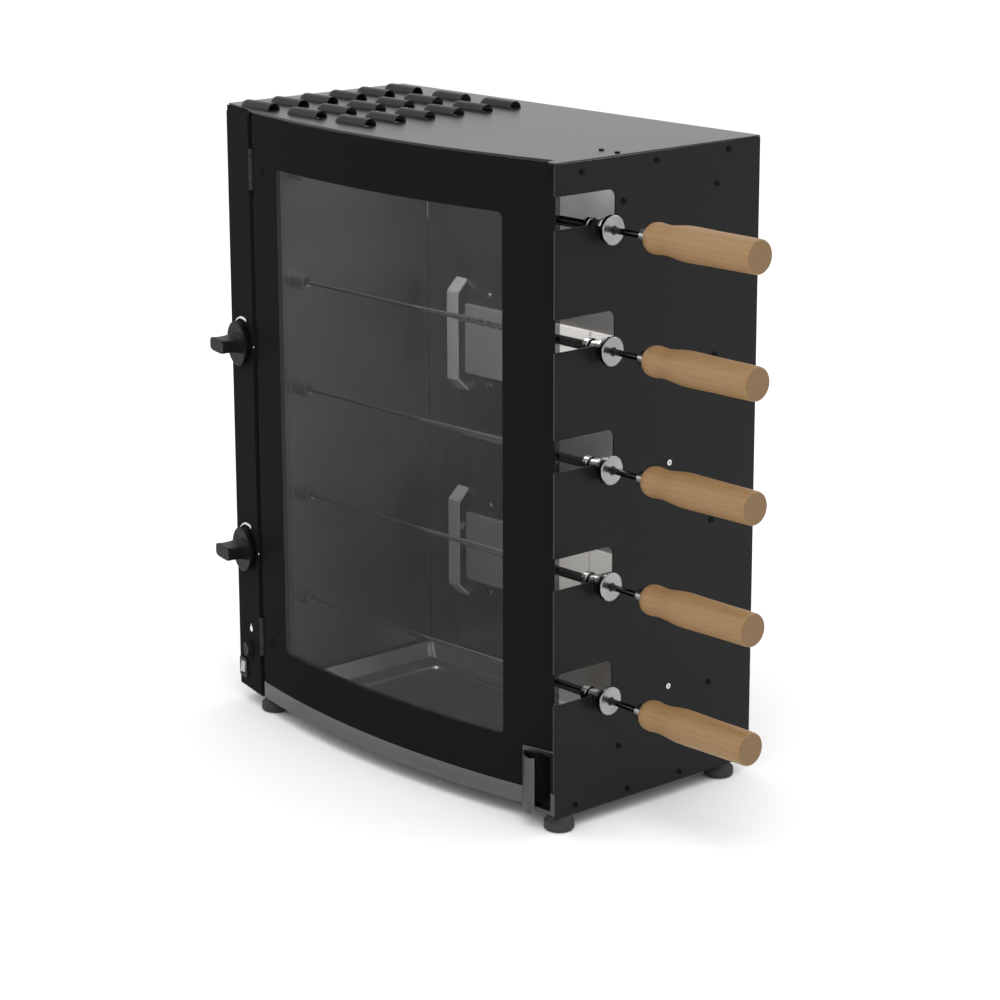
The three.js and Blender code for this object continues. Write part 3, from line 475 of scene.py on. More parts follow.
def rings(loops, close_ends=True, closed=True):
    """Joins rings of equal length into a skin."""
    bm = bmesh.new()
    rows = [[bm.verts.new(point) for point in loop] for loop in loops]
    count = len(rows[0])
    for first, second in zip(rows, rows[1:]):
        for i in range(count if closed else count - 1):
            j = (i + 1) % count
            corners = [first[i], first[j], second[j], second[i]]
            unique = [v for k, v in enumerate(corners) if (v.co - corners[k - 1].co).length > 1e-9]
            if len(unique) >= 3:
                try:
                    bm.faces.new(unique)
                except ValueError:  # this face is there already, where the skin touches itself
                    pass
    if close_ends:
        for row in (rows[0], rows[-1]):
            if (row[0].co - row[count // 2].co).length > 1e-8:
                bm.faces.new(row)
    return bm


def turned(profile, place, segments=48):
    """Turns (station, radius) pairs about an axis; place(station, a, b) gives the point."""
    loops = []
    for station, radius in profile:
        loops.append([place(station, radius * math.cos(t), radius * math.sin(t))
                      for t in (2 * math.pi * i / segments for i in range(segments))])
    return rings(loops)


def along_x(y, z, x0=0.0):
    return lambda s, a, b: at(x0 + s, y + a, z + b)


def along_z(x, y):
    return lambda s, a, b: at(x + a, y + b, s)


def from_panel(u, z):
    return lambda s, a, b: on_panel(u + a, s, z + b)


def fillet(a, b, radius, start, end, steps=6):
    """Points of an arc round (a, b) from a start to an end angle in degrees."""
    return [(a + radius * math.cos(math.radians(start + (end - start) * i / steps)),
             b + radius * math.sin(math.radians(start + (end - start) * i / steps)))
            for i in range(steps + 1)]


def rounded(a0, a1, b0, b1, radius, steps):
    """Outline of a rectangle with rounded corners."""
    return (fillet(a1 - radius, b0 + radius, radius, -90, 0, steps)
            + fillet(a1 - radius, b1 - radius, radius, 0, 90, steps)
            + fillet(a0 + radius, b1 - radius, radius, 90, 180, steps)
            + fillet(a0 + radius, b0 + radius, radius, 180, 270, steps))


def plate(loops, low, high, place, edge=0.3, cut=None):
    """A sheet with holes and softened edges. loops are outlines in (a, b), low and high its faces
    in t, and place(a, b, t) gives the point. cut slices it every so many mm of a, so that it can bend."""
    curve = bpy.data.curves.new("outline", "CURVE")
    curve.dimensions = "2D"
    curve.fill_mode = "BOTH"
    curve.extrude = (high - low) / 2 - edge
    curve.bevel_depth = edge
    curve.bevel_resolution = 1
    curve.offset = -edge
    for loop in loops:
        spline = curve.splines.new("POLY")
        spline.points.add(len(loop) - 1)
        for point, (a, b) in zip(spline.points, loop):
            point.co = (a, b, 0, 1)
        spline.use_cyclic_u = True
    obj = bpy.data.objects.new("outline", curve)
    bpy.context.scene.collection.objects.link(obj)
    mesh = bpy.data.meshes.new_from_object(obj.evaluated_get(bpy.context.evaluated_depsgraph_get()))
    bpy.data.objects.remove(obj)
    bpy.data.curves.remove(curve)
    bm = bmesh.new()
    bm.from_mesh(mesh)
    bpy.data.meshes.remove(mesh)
    bmesh.ops.remove_doubles(bm, verts=bm.verts, dist=1e-4)
    if cut:
        left = min(v.co.x for v in bm.verts)
        right = max(v.co.x for v in bm.verts)
        slices = int((right - left) / cut)
        for i in range(1, slices + 1):
            bmesh.ops.bisect_plane(bm, geom=bm.verts[:] + bm.edges[:] + bm.faces[:],
                                   plane_co=(left + (right - left) * i / (slices + 1), 0, 0),
                                   plane_no=(1, 0, 0))
    middle = (low + high) / 2
    for vertex in bm.verts:
        vertex.co = place(vertex.co.x, vertex.co.y, middle + vertex.co.z)
    return bm


def block(x0, x1, y0, y1, z0, z1, edge):
    """A box between two corners, with softened edges."""
    low, size = (x0, y0, z0), (x1 - x0, y1 - y0, z1 - z0)
    bm = bmesh.new()
    bmesh.ops.create_cube(bm, size=1.0)
    for v in bm.verts:
        v.co = Vector([start + (share + 0.5) * long for start, share, long in zip(low, v.co, size)])
    bmesh.ops.bevel(bm, geom=bm.edges[:], offset=edge, segments=2, affect="EDGES", profile=0.6)
    for v in bm.verts:
        v.co = at(*v.co)
    return bm


def screw_head(centre, outward, radius, height):
    """A pan head with a cross recess, on a surface point, facing outward."""
    turn = Vector((0, 0, 1)).rotation_difference(Vector(outward)).to_matrix().to_4x4()
    base = turned([(0, radius * 0.98), (height * 0.35, radius), (height * 0.35, 0.001)],
                  lambda s, a, b: Vector((a, b, s)) * MM, 20)
    arm, long = radius * 0.13, radius * 0.55
    cross = [(long, arm), (arm, arm), (arm, long), (-arm, long), (-arm, arm), (-long, arm),
             (-long, -arm), (-arm, -arm), (-arm, -long), (arm, -long), (arm, -arm), (long, -arm)]
    cap = plate([fillet(0, 0, radius, 0, 345, 23), cross], height * 0.3, height,
                lambda a, b, t: Vector((a, b, t)) * MM, min(0.22, height * 0.25))
    merge(base, cap)
    bmesh.ops.transform(base, matrix=Matrix.Translation(centre) @ turn, verts=base.verts)
    return base


def screws(name, places, material, body):
    """One piece of screw heads; each place is (centre, outward, radius, height)."""
    bm = bmesh.new()
    for centre, outward, radius, height in places:
        merge(bm, screw_head(centre, outward, radius, height))
    return piece(name, bm, material, body, sharp=40)


# ---------------------------------------------------------------- cabinet

LOUVRE_X, LOUVRE_Y, LOUVRE_STEP_X, LOUVRE_STEP_Y = 27.0, 30.0, 76.0, 37.5
LOUVRE_ROWS, LOUVRE_COLUMNS = 6, 3
LOUVRE_LENGTH, LOUVRE_RADIUS, LOUVRE_THICK = 50.0, 7.5, 1.0
HOOD_BASE = TOP - 0.2  # the hoods start just inside the top sheet
FRONT_START = 53.0  # where the curved front begins
SCREW_SIZE, BRIGHT_SCREW_SIZE, TOP_SCREW_SIZE = (2.7, 1.5), (2.9, 1.6), (2.6, 1.4)  # radius, height


def louvre_places():
    for row in range(LOUVRE_ROWS):
        for column in range(LOUVRE_COLUMNS):
            yield LOUVRE_X + LOUVRE_STEP_X * column, LOUVRE_Y + LOUVRE_STEP_Y * row


def top_sheet():
    """The top with a hole under each louvre, and its folded lip along the curved front."""
    right = GLASS_HIGH.x - 1.5
    steps = 40
    stations = [FRONT_START + (right - FRONT_START) * i / steps for i in range(steps + 1)]
    outline = [(0.3, 31), (52, 19.2)] + [(x, front_y(x)) for x in stations]
    outline += [(right + 1.2, 6.4), (right + 2.2, 2), (right + 4.5, 0.2), (WIDTH - 0.6, 0.2), (WIDTH, 0.8)]
    outline += fillet(WIDTH - 1, DEPTH - 1, 1, 0, 90, 3) + [(0.3, DEPTH)]
    holes = [rounded(x + 5, x + LOUVRE_LENGTH - 0.5, y - 5.6, y + 5.6, 3, 4) for x, y in louvre_places()]
    bm = plate([outline] + holes, TOP - SHEET, TOP, at, 0.45)
    lip = plate([rounded(56, right - 1, TOP - 2.4, TOP - 0.6, 0.5, 2)], 0.1, SHEET,
                lambda a, b, t: on_front(a, t, b), 0.2, cut=12)
    return merge(bm, lip)


def hood(x, y):
    """A pressed half-round hood, rounded off at its left and open at its right."""
    steps, sides = 10, 14
    loops = []
    for radius in (LOUVRE_RADIUS, LOUVRE_RADIUS - LOUVRE_THICK):
        skin = []
        for i in range(steps + 1):
            angle = math.pi / 2 * i / steps
            skin.append((x + LOUVRE_RADIUS * 1.25 * (1 - math.cos(angle)), radius * math.sin(angle)))
        skin.append((x + LOUVRE_LENGTH * 0.7, radius))
        skin.append((x + LOUVRE_LENGTH, radius))
        loops.append(skin)
    path = loops[0] + list(reversed(loops[1]))
    sections = []
    for px, radius in path:
        radius = max(radius, 0.02)
        foot = 0.9 if radius > 1 else 0.0
        row = [at(px, y - radius - foot, HOOD_BASE)]
        for k in range(sides + 1):
            angle = math.pi * k / sides
            row.append(at(px, y - radius * math.cos(angle), HOOD_BASE + radius * 0.98 * math.sin(angle)))
        row.append(at(px, y + radius + foot, HOOD_BASE))
        sections.append(row)
    return rings(sections, close_ends=False, closed=False)


def slot_edge(z):
    """Outline of one slot from its lower front corner, round the seat, to its upper front corner."""
    low, high, corner = z + SLOT_LOW, z + SLOT_HIGH, 8.0
    seat_left, seat_right = SKEWER_Y - SEAT_RADIUS, SKEWER_Y + SEAT_RADIUS
    points = [(0.0, low), (seat_left - 1.5, low)] + fillet(seat_left - 1.5, low - 1.5, 1.5, 90, 0, 3)
    points += fillet(SKEWER_Y, z, SEAT_RADIUS, 180, 360, 14)
    points += [(seat_right, low - 0.8), (seat_right + 0.8, low), (SLOT_DEPTH - 1.5, low)]
    points += fillet(SLOT_DEPTH - 1.5, low + 1.5, 1.5, -90, 0, 3)
    points += fillet(SLOT_DEPTH - corner, high - corner, corner, 0, 90, 6) + [(0.0, high)]
    return points


def side_skin():
    """The right side panel, with its five slots open to the front."""
    outline = [(0.0, 0.0)]
    for z in sorted(SKEWERS.values()):
        outline += slot_edge(z)
    outline += [(0.0, SIDE_TOP), (DEPTH, SIDE_TOP), (DEPTH, 0.0)]
    return plate([outline], WIDTH - SHEET, WIDTH, lambda a, b, t: at(t, a, b), 0.3)


def hems():
    """The folded front edge of the right side, between the slots."""
    bm = bmesh.new()
    stops = [0.0]
    for z in sorted(SKEWERS.values()):
        stops += [z + SLOT_LOW, z + SLOT_HIGH]
    stops.append(SIDE_TOP)
    for low, high in zip(stops[::2], stops[1::2]):
        merge(bm, block(WIDTH - 3.2, WIDTH - 0.15, 0.05, 5.8, low + 0.1, high - 0.1, 0.7))
    return bm


piece("top_sheet", top_sheet(), TOP_PAINT, "cabinet", ["top_panel"])
hoods = bmesh.new()
for place in louvre_places():
    merge(hoods, hood(*place))
piece("louvre_hoods", hoods, HOOD_PAINT, "cabinet", sharp=50)
piece("side_skin", side_skin(), BLACK_PAINT, "cabinet", ["right_side_panel"])
piece("side_hems", hems(), HEM, "cabinet")

carry("left_side_panel", BLACK_PAINT, 0.4)
carry("back_panel", BLACK_PAINT, 0.3)
carry("base_pan", BLACK_PAINT, 0.3)
carry("control_panel", CONTROL_PAINT, 0.4)

side_places = [(32, 609), (126, 610), (220, 611), (205, 580), (205, 417), (204, 255), (204, 91), (84, 577),
               (83, 54), (165, 8), (95, 8), (27, 8.6)]
bright_places = [(145, 322), (147, 100)]
top_places = [(495, 84), (516, 84)]
back_places = [(x, z) for x in (14, 180, 345, 511) for z in (10, 608)]
back_places += [(x, z) for x in (14, 511) for z in (210, 410)]
back_places += [(x, z) for x in (150, 290, 430) for z in (87, 195, 313, 421)]
left_places = [(y, z) for y in (60, 145, 240) for z in (10, 608)] + [(y, 310) for y in (60, 240)]
screws("side_screws", [(at(WIDTH, y, z), (1, 0, 0), *SCREW_SIZE) for y, z in side_places], SCREW, "cabinet")
screws("side_bright_screws", [(at(WIDTH, y, z), (1, 0, 0), *BRIGHT_SCREW_SIZE) for y, z in bright_places],
       BRIGHT_SCREW, "cabinet")
screws("top_screws", [(at(x, y, TOP), (0, 0, 1), *TOP_SCREW_SIZE) for x, y in top_places], SCREW, "cabinet")
screws("back_screws", [(at(x, DEPTH, z), (0, 1, 0), *SCREW_SIZE) for x, z in back_places], SCREW, "cabinet")
screws("left_screws", [(at(0, y, z), (-1, 0, 0), *SCREW_SIZE) for y, z in left_places], SCREW, "cabinet")

# ---------------------------------------------------------------- controls

# Turned profiles of (depth from the panel's face, radius), and the grip as (depth, half length, half width)
KNOB_DISC = [(-3.3, 21.0), (-3.5, 22.4), (-7.0, 23.4), (-7.8, 23.2), (-8.3, 22.4), (-8.5, 20.5),
             (-8.1, 18.5), (-8.0, AXIS)]
KNOB_GRIP = [(-7.6, 19.5, 10.2), (-9.2, 18.9, 8.6), (-12.0, 18.3, 7.4), (-18.0, 17.8, 6.7),
             (-23.0, 17.4, 6.6), (-27.5, 17.1, 7.0), (-29.2, 16.9, 7.1), (-29.8, 16.5, 6.8),
             (-30.0, 15.6, 6.1)]
GRIP_SIDES, GRIP_ROUNDNESS = 56, 0.45  # 1 would make its outline an ellipse, 0 a rectangle
BUTTON_RADIUS = 6.9
BUTTON = [(6, BUTTON_RADIUS), (-5.4, BUTTON_RADIUS), (-6.2, 6.6), (-6.5, 6.0), (-6.3, 5.0), (-5.6, 2.6),
          (-5.3, AXIS)]


def knob(z):
    """A round disc with a bar grip across it."""
    loops = []
    for v, half_long, half_wide in KNOB_GRIP:
        loop = []
        for i in range(GRIP_SIDES):
            angle = 2 * math.pi * i / GRIP_SIDES
            c, s = math.cos(angle), math.sin(angle)
            loop.append(on_panel(CONTROL_U + half_long * math.copysign(abs(c) ** GRIP_ROUNDNESS, c), v,
                                 z + half_wide * math.copysign(abs(s) ** GRIP_ROUNDNESS, s)))
        loops.append(loop)
    return merge(turned(KNOB_DISC, from_panel(CONTROL_U, z), 72), rings(loops))


for level, z in KNOBS.items():
    piece(f"{level}_knob_shell", knob(z), KNOB_PLASTIC, f"{level}_knob_body", [f"{level}_knob"],
          38)
    carry(f"{level}_valve_stem", DARK_STEEL)
    carry(f"{level}_gas_valve", BRASS, 0.4)

button = turned(BUTTON, from_panel(CONTROL_U, size_of("ignition_button")[0].z + BUTTON_RADIUS), 48)
piece("ignition_cap", button, DARK_PLASTIC, "ignition_push", ["ignition_button"])
carry("switch_bezel", DARK_PLASTIC, 0.5)
carry("rocker_switch", GREY_PLASTIC, 0.5)


SCALE_RADIUS, SCALE_THICK, SCALE_TIP = 27.2, 3.2, 0.2  # the printed scale round each knob
SCALE_START, SCALE_END = 148, 72  # degrees
DOT_OFFSET, DOT_RADIUS = 26, 1.0
FLAME_SHIFT, FLAME_HEIGHT, FLAME_SIZE = 2.5, 71, 4.6
FLAME = [(0, -1), (0.5, -0.85), (0.72, -0.4), (0.6, 0.05), (0.34, 0.35), (0.3, 0.05), (0.12, 0.5),
         (-0.12, 1.0), (-0.18, 0.55), (-0.5, 0.15), (-0.72, -0.3), (-0.6, -0.75), (-0.3, -0.96)]


def scale(z, steps=28):
    """A crescent: thin at its start, thick at its end."""
    inner = []
    for i in range(steps, -1, -1):
        reach = SCALE_RADIUS - SCALE_THICK * i / steps - SCALE_TIP
        angle = math.radians(SCALE_START + (SCALE_END - SCALE_START) * i / steps)
        inner.append((CONTROL_U + reach * math.cos(angle), z + reach * math.sin(angle)))
    return fillet(CONTROL_U, z, SCALE_RADIUS, SCALE_START, SCALE_END, steps) + inner


def print_on_panel(outline):
    return plate([outline], -0.09, 0.05, lambda a, b, t: on_panel(a, t, b), 0.02)


prints = bmesh.new()
for z in KNOBS.values():
    merge(prints, print_on_panel(scale(z)))
    merge(prints, print_on_panel(fillet(CONTROL_U + DOT_OFFSET, z, DOT_RADIUS, 0, 345, 23)))
merge(prints, print_on_panel([(CONTROL_U + FLAME_SHIFT + a * FLAME_SIZE, FLAME_HEIGHT + b * FLAME_SIZE)
                              for a, b in FLAME]))
piece("panel_print", prints, PRINT, "cabinet")

# ---------------------------------------------------------------- door

WINDOW = (111.0, 451.0, 65.0, 567.0)  # left, right, bottom, top
WINDOW_CORNER, DOOR_CORNER, NOTCH_X, NOTCH_TOP = 6.0, 7.0, 489.5, 60.0
PANE_THICK, PANE_EDGE = 5.0, 0.5
FRIT_EDGE, FRIT_INSET, BACK_FRIT_GAP = 0.02, 0.6, 6.0  # the gap keeps the pane's right edge clear


def front_plate(loops, low, high, edge=0.3):
    return plate(loops, low, high, lambda a, b, t: on_front(a, t, b), edge, cut=9)


def curved_strip(left, right, bottom, top, low, high, edge):
    """A bent sheet on the front between two heights, each a function of x, with softened edges.

    It has more stations near the corners and at the handle's notch, where the heights change fast.
    """
    stations = {left, right, NOTCH_X - 0.01, NOTCH_X + 0.01}
    stations |= {left + (right - left) * i / 60 for i in range(61)}
    for centre in (left, right, WINDOW[0], WINDOW[1]):
        stations |= {centre + side * step for side in (-1, 1)
                     for step in (0.3, 0.8, 1.6, 2.6, 4.0, 5.5, 7.0)}
    loops = []
    for x in sorted(s for s in stations if left <= s <= right):
        z0, z1 = bottom(x), top(x)
        section = [(low, z0 + edge), (low, z1 - edge), (low + edge, z1), (high - edge, z1),
                   (high, z1 - edge), (high, z0 + edge), (high - edge, z0), (low + edge, z0)]
        loops.append([on_front(x, inset, z) for inset, z in section])
    return rings(loops)


def corner_drop(x, left, right, radius):
    """How far a corner of this radius cuts into the height at x."""
    reach = max(0.0, left + radius - x, x - right + radius)
    return radius - math.sqrt(max(0.0, radius ** 2 - min(reach, radius) ** 2))


def door_bottom(shrink):
    return lambda x: (NOTCH_TOP if x > NOTCH_X else GLASS_LOW.z) + shrink


def door_top(shrink):
    """Square at the hinge, rounded at the free end."""
    return lambda x: (GLASS_HIGH.z - shrink
                      - corner_drop(x, GLASS_LOW.x - DOOR_CORNER, GLASS_HIGH.x, DOOR_CORNER))


def window_edge(level, way):
    return lambda x: level + way * corner_drop(x, WINDOW[0], WINDOW[1], WINDOW_CORNER)


def door_border(low, high, edge_gap=0.0):
    """Four strips that leave the window open."""
    left, right = GLASS_LOW.x + FRIT_INSET, GLASS_HIGH.x - FRIT_INSET - edge_gap
    under, over = door_bottom(FRIT_INSET), door_top(FRIT_INSET)
    sill, head = window_edge(WINDOW[2], 1), window_edge(WINDOW[3], -1)
    bm = bmesh.new()
    for start, end, bottom, top in ((left, WINDOW[0], under, over), (WINDOW[1], right, under, over),
                                    (WINDOW[0], WINDOW[1], under, sill), (WINDOW[0], WINDOW[1], head, over)):
        merge(bm, curved_strip(start, end, bottom, top, low, high, FRIT_EDGE))
    return bm


pane = curved_strip(GLASS_LOW.x, GLASS_HIGH.x, door_bottom(0.0), door_top(0.0), 0.0, PANE_THICK, PANE_EDGE)
piece("door_pane", pane, SMOKED, "door", ["door_glass"])
piece("door_border", door_border(PANE_THICK + 0.02, PANE_THICK + 0.2, BACK_FRIT_GAP), FRIT, "door")
piece("door_border_front", door_border(-0.1, 0.04), FRIT, "door")

RAIL_LEFT, RAIL_RIGHT, RAIL_LOW = HINGE_X + 1.5, 489.2, 1.5
RAIL_TOP, RAIL_SHELF = GLASS_LOW.z - 0.3, GLASS_LOW.z - 3
RAIL_BACK, RAIL_LIP_TOP = 7.5, 34

rail = front_plate([rounded(RAIL_LEFT, RAIL_RIGHT, RAIL_LOW, RAIL_TOP, 0.8, 3)], 0.0, 1.8, 0.5)
merge(rail, front_plate([rounded(RAIL_LEFT, RAIL_RIGHT, RAIL_SHELF, RAIL_TOP, 0.5, 2)], 0.3, RAIL_BACK, 0.4))
merge(rail, front_plate([rounded(RAIL_LEFT + 10, RAIL_RIGHT, RAIL_SHELF, RAIL_LIP_TOP, 0.6, 3)], 5.4,
                        RAIL_BACK, 0.4))
piece("rail_skin", rail, ANODISED, "door", ["door_rail"])

HANDLE_LEFT, HANDLE_RIGHT, HANDLE_LOW, HANDLE_TOP = 476.0, 513.4, 2, 61.5
HANDLE_FACE = -2.1  # the handle's outer face, from the pane's
FIN_Y = front_y(HANDLE_LEFT) + HANDLE_FACE
FIN_LINE = [(HANDLE_LEFT + 0.3, FIN_Y + 0.6), (HANDLE_LEFT + 2.5, FIN_Y - 0.8), (488, -5.0), (495, -7.0),
            (497.2, -7.0), (499.0, -5.6), (500.4, -3.4)]
SHELF_LINE = [(HANDLE_LEFT + 3, FIN_Y + 1.0), (495, -5.2), (512.8, -1.6), (512.8, 11.5), (484, 5.4)]
SHELF_Z = 4.7
EAR_FRONT, EAR_BACK, EAR_RIGHT = -3.3, -1.5, WIDTH + 1.9
CUP_LEFT, CUP_RIGHT, CUP_FRONT, CUP_BACK, CUP_LOW, CUP_HIGH = 490.8, 511.1, 7.2, 25.9, 7.2, 58.8


def fold(line, thick, low, high, edge=0.2):
    """A bent strip: an open line in plan, given a thickness, between two heights."""
    outer, inner = [], []
    for i, point in enumerate(line):
        before, after = Vector(line[max(0, i - 1)]), Vector(line[min(len(line) - 1, i + 1)])
        direction = (after - before).normalized()
        normal = Vector((-direction.y, direction.x))
        outer.append(tuple(Vector(point) - normal * thick / 2))
        inner.append(tuple(Vector(point) + normal * thick / 2))
    return plate([outer + inner[::-1]], low, high, at, edge)


finger = rounded(493, 509.5, 9, 57, 2.0, 4)
handle = front_plate([rounded(HANDLE_LEFT, HANDLE_RIGHT, HANDLE_LOW, HANDLE_TOP, 1.0, 3), finger],
                     HANDLE_FACE, -0.3, 0.35)
merge(handle, fold(FIN_LINE, 1.3, 0.8, 56))
merge(handle, plate([SHELF_LINE], SHELF_Z, 6.3, at, 0.3))
merge(handle, block(497.5, EAR_RIGHT, EAR_FRONT, EAR_BACK, SHELF_Z, 8.4, 0.4))
merge(handle, block(WIDTH - 2.4, EAR_RIGHT, EAR_FRONT, EAR_BACK, 8.0, 26.9, 0.4))
piece("handle_skin", handle, HANDLE_METAL, "door", ["door_handle"])

cup = bmesh.new()
for x0, x1, y0, y1, z0, z1 in ((CUP_LEFT, 492.3, CUP_FRONT, 25.6, CUP_LOW, CUP_HIGH),
                               (509.7, CUP_RIGHT, 8.8, 25.6, CUP_LOW, CUP_HIGH),
                               (CUP_LEFT, CUP_RIGHT, 24.5, CUP_BACK, CUP_LOW, CUP_HIGH),
                               (CUP_LEFT, CUP_RIGHT, CUP_FRONT, CUP_BACK, 7.1, 8.6),
                               (CUP_LEFT, CUP_RIGHT, CUP_FRONT, CUP_BACK, 57.4, 58.9)):
    merge(cup, block(x0, x1, y0, y1, z0, z1, 0.3))
piece("handle_cup", cup, DARK_PLASTIC, "door")

# Half of a hinge's fixed knuckles and half of its turning barrel, as (height from its middle, radius)
KNUCKLE = [(13.2, 2.4), (13.4, 2.82), (20.6, 2.82), (20.9, 2.5), (20.9, AXIS)]
BARREL = [(12.8, 2.84), (13, 2.4)]

for level, z in HINGES.items():
    pin = along_z(HINGE_X, HINGE_Y)
    carry(f"{level}_door_hinge_leaf", SCREW, 0.25)
    carry(f"{level}_cabinet_hinge_leaf", SCREW, 0.25)
    knuckles = turned([(z - up, radius) for up, radius in reversed(KNUCKLE)], pin, 32)
    merge(knuckles, turned([(z + up, radius) for up, radius in KNUCKLE], pin, 32))
    piece(f"{level}_hinge_knuckles", knuckles, DARK_PLASTIC, "cabinet")
    barrel = [(z - up, radius) for up, radius in reversed(BARREL)]
    barrel += [(z + up, radius) for up, radius in BARREL]
    piece(f"{level}_hinge_barrel", turned(barrel, pin, 32), DARK_PLASTIC, "door")
    screws(f"{level}_hinge_screw", [(on_front(80, -0.02, z), (-0.2, -0.98, 0), 4.6, 1.0)], FRIT, "door")

# ---------------------------------------------------------------- skewers

# Turned profiles of (distance from the side panel's outer face, radius)
COLLAR = [(-24, AXIS), (-24, 3.4), (-23.6, 4.0), (-21.4, 4.2), (-20.6, 7.6), (-20.0, 8.2), (-14.8, 8.2),
          (-14.2, 7.6), (-13.8, 6.4), (-11.6, 6.4), (-11.2, 7.2), (-6.8, 7.4), (-6.2, 8.0), (0.2, 8.1),
          (0.5, 9.8), (1.0, 10.6), (4.2, 11.0), (6.4, 12.2), (8.4, 13.6), (9.2, 13.9), (12.2, 13.9),
          (13.0, 13.6), (13.5, 12.8), (13.6, 4.4), (13.9, 3.8), (14.2, 3.0), (49.6, 3.0), (50.0, 4.8),
          (50.4, 5.6), (52.0, 7.4), (59.2, 7.6), (59.6, 7.2), (59.6, AXIS)]
GRIP = [(60, AXIS), (60, 6.2), (60.6, 9.2), (62.2, 11.9), (64.6, 13.6), (68, 14.4), (72, 14.6), (76, 14.1),
        (80, 13.75), (86, 13.8), (93, 14.6), (100, 15.5), (107, 16.15), (114, 16.35), (124, 16.25),
        (138, 16.0), (155, 15.85), (175, 15.8), (192.4, 15.7), (193.8, 15.4), (194.4, 14.9), (195, 14.2),
        (195, AXIS)]
TANG_PROFILE = [(73, AXIS), (73, 1.2), (73.6, 1.6), (262, 1.6), (266, 1.0)]  # from the left side
BLADE_STATIONS = [(505, 4.0, 2.0), (502, 4.75, 1.9), (464, 4.7, 1.85), (460, 4.7, 1.85), (440, 4.6, 1.8),
                  (360, 3.6, 1.5), (290, 2.3, 1.1), (252, 1.4, 0.8), (240, 0.7, 0.5)]  # x, width, thickness
DARK_REFLECTION_STATIONS = ((-21.4, -20.5), (-14.3, -11.5), (-6.9, -6.1), (0.1, 0.8), (5.0, 12.4), (13.7, 49.8),
                 (50.6, 52.5))  # stretches of the collar and shank painted dark as painted reflection of dark surroundings
# Where the grip's shaded end face begins, and from where the blade takes painted shade.
GRIP_END, BLADE_SHADE_FROM = 194.4, 462.0


def blade(z):
    """Flat blade of a shallow diamond section with a groove on each face, tapering to its tip."""
    loops = []
    for x, wide, thick in BLADE_STATIONS:
        flank, ridge, groove = wide * 0.45, thick * 0.62, thick * 0.3
        section = [(wide, 0), (flank, ridge), (0, groove), (-flank, ridge), (-wide, 0), (-flank, -ridge),
                   (0, -groove), (flank, -ridge)]
        loops.append([at(x, SKEWER_Y + b, z + a) for a, b in section])
    return rings(loops)


for i, z in SKEWERS.items():
    body = f"skewer_{i}"
    from_side = along_x(SKEWER_Y, z, WIDTH)
    shank = piece(f"skewer_{i}_shank", turned(COLLAR, from_side, 48), CHROME, body, [f"skewer_rod_{i}"],
                  28)
    # Painted reflection: the listed stretches take the dark chrome.
    second_material(shank, DARK_REFLECTION_CHROME,
                    lambda x: any(start < x - WIDTH < end for start, end in DARK_REFLECTION_STATIONS))
    steel = piece(f"skewer_{i}_blade", blade(z), BLADE, body, sharp=12)
    # Painted shade: the blade near the side wall, seen through the slots, takes the dark chrome.
    second_material(steel, DARK_REFLECTION_CHROME, lambda x: x > BLADE_SHADE_FROM)
    tang = turned(TANG_PROFILE, along_x(SKEWER_Y, z), 20)
    piece(f"skewer_{i}_tang", tang, TANG, body)
    grip = piece(f"skewer_{i}_grip", turned(GRIP, from_side, 64), WOOD, body, [f"skewer_handle_{i}"],
                 34)
    # The grip's end face takes the darker beech as painted shade.
    second_material(grip, SHADED_GRIP_END, lambda x: x - WIDTH > GRIP_END)
    carry(f"drive_socket_{i}", TANG, 0.3)

# ---------------------------------------------------------------- inside

WALL_Y = size_of("chamber_back_wall")[0].y

carry("inner_left_wall", SHADED_WALL)
carry("chamber_back_wall", GALVANISED)
for level, z in BURNERS.items():
    carry(f"{level}_burner_plaque", CERAMIC, 0.6)
    carry(f"{level}_burner_body", DARK_STEEL, 0.5)
    carry(f"{level}_burner_guard", GUARD, 0.4)
    carry(f"{level}_spark_electrode", CERAMIC)
    carry(f"{level}_burner_feed", COPPER)
    burner_screws = [(at(x, WALL_Y, z + up), (0, -1, 0), 3.6, 1.8) for x in (164, 290, 416)
                     for up in (49, -47)]
    screws(f"{level}_burner_screws", burner_screws, BRIGHT_SCREW, "cabinet")
for node, material, slot in (("gas_manifold", BRASS, "brass"),
                             ("igniter_module", DARK_PLASTIC, "black_plastic"),
                             ("gear_motor", DARK_STEEL, "dark_steel"),
                             ("motor_sprocket", DARK_STEEL, "dark_steel"),
                             ("drive_chain", DARK_STEEL, "dark_steel"),
                             ("mains_gland", DARK_PLASTIC, "black_plastic")):
    carry(node, material, 0.3)


TRAY_SHEET = 1.0
TRAY_SIDE_SLOPE = 0.62  # how far the front and back lean in, for each mm at the ends


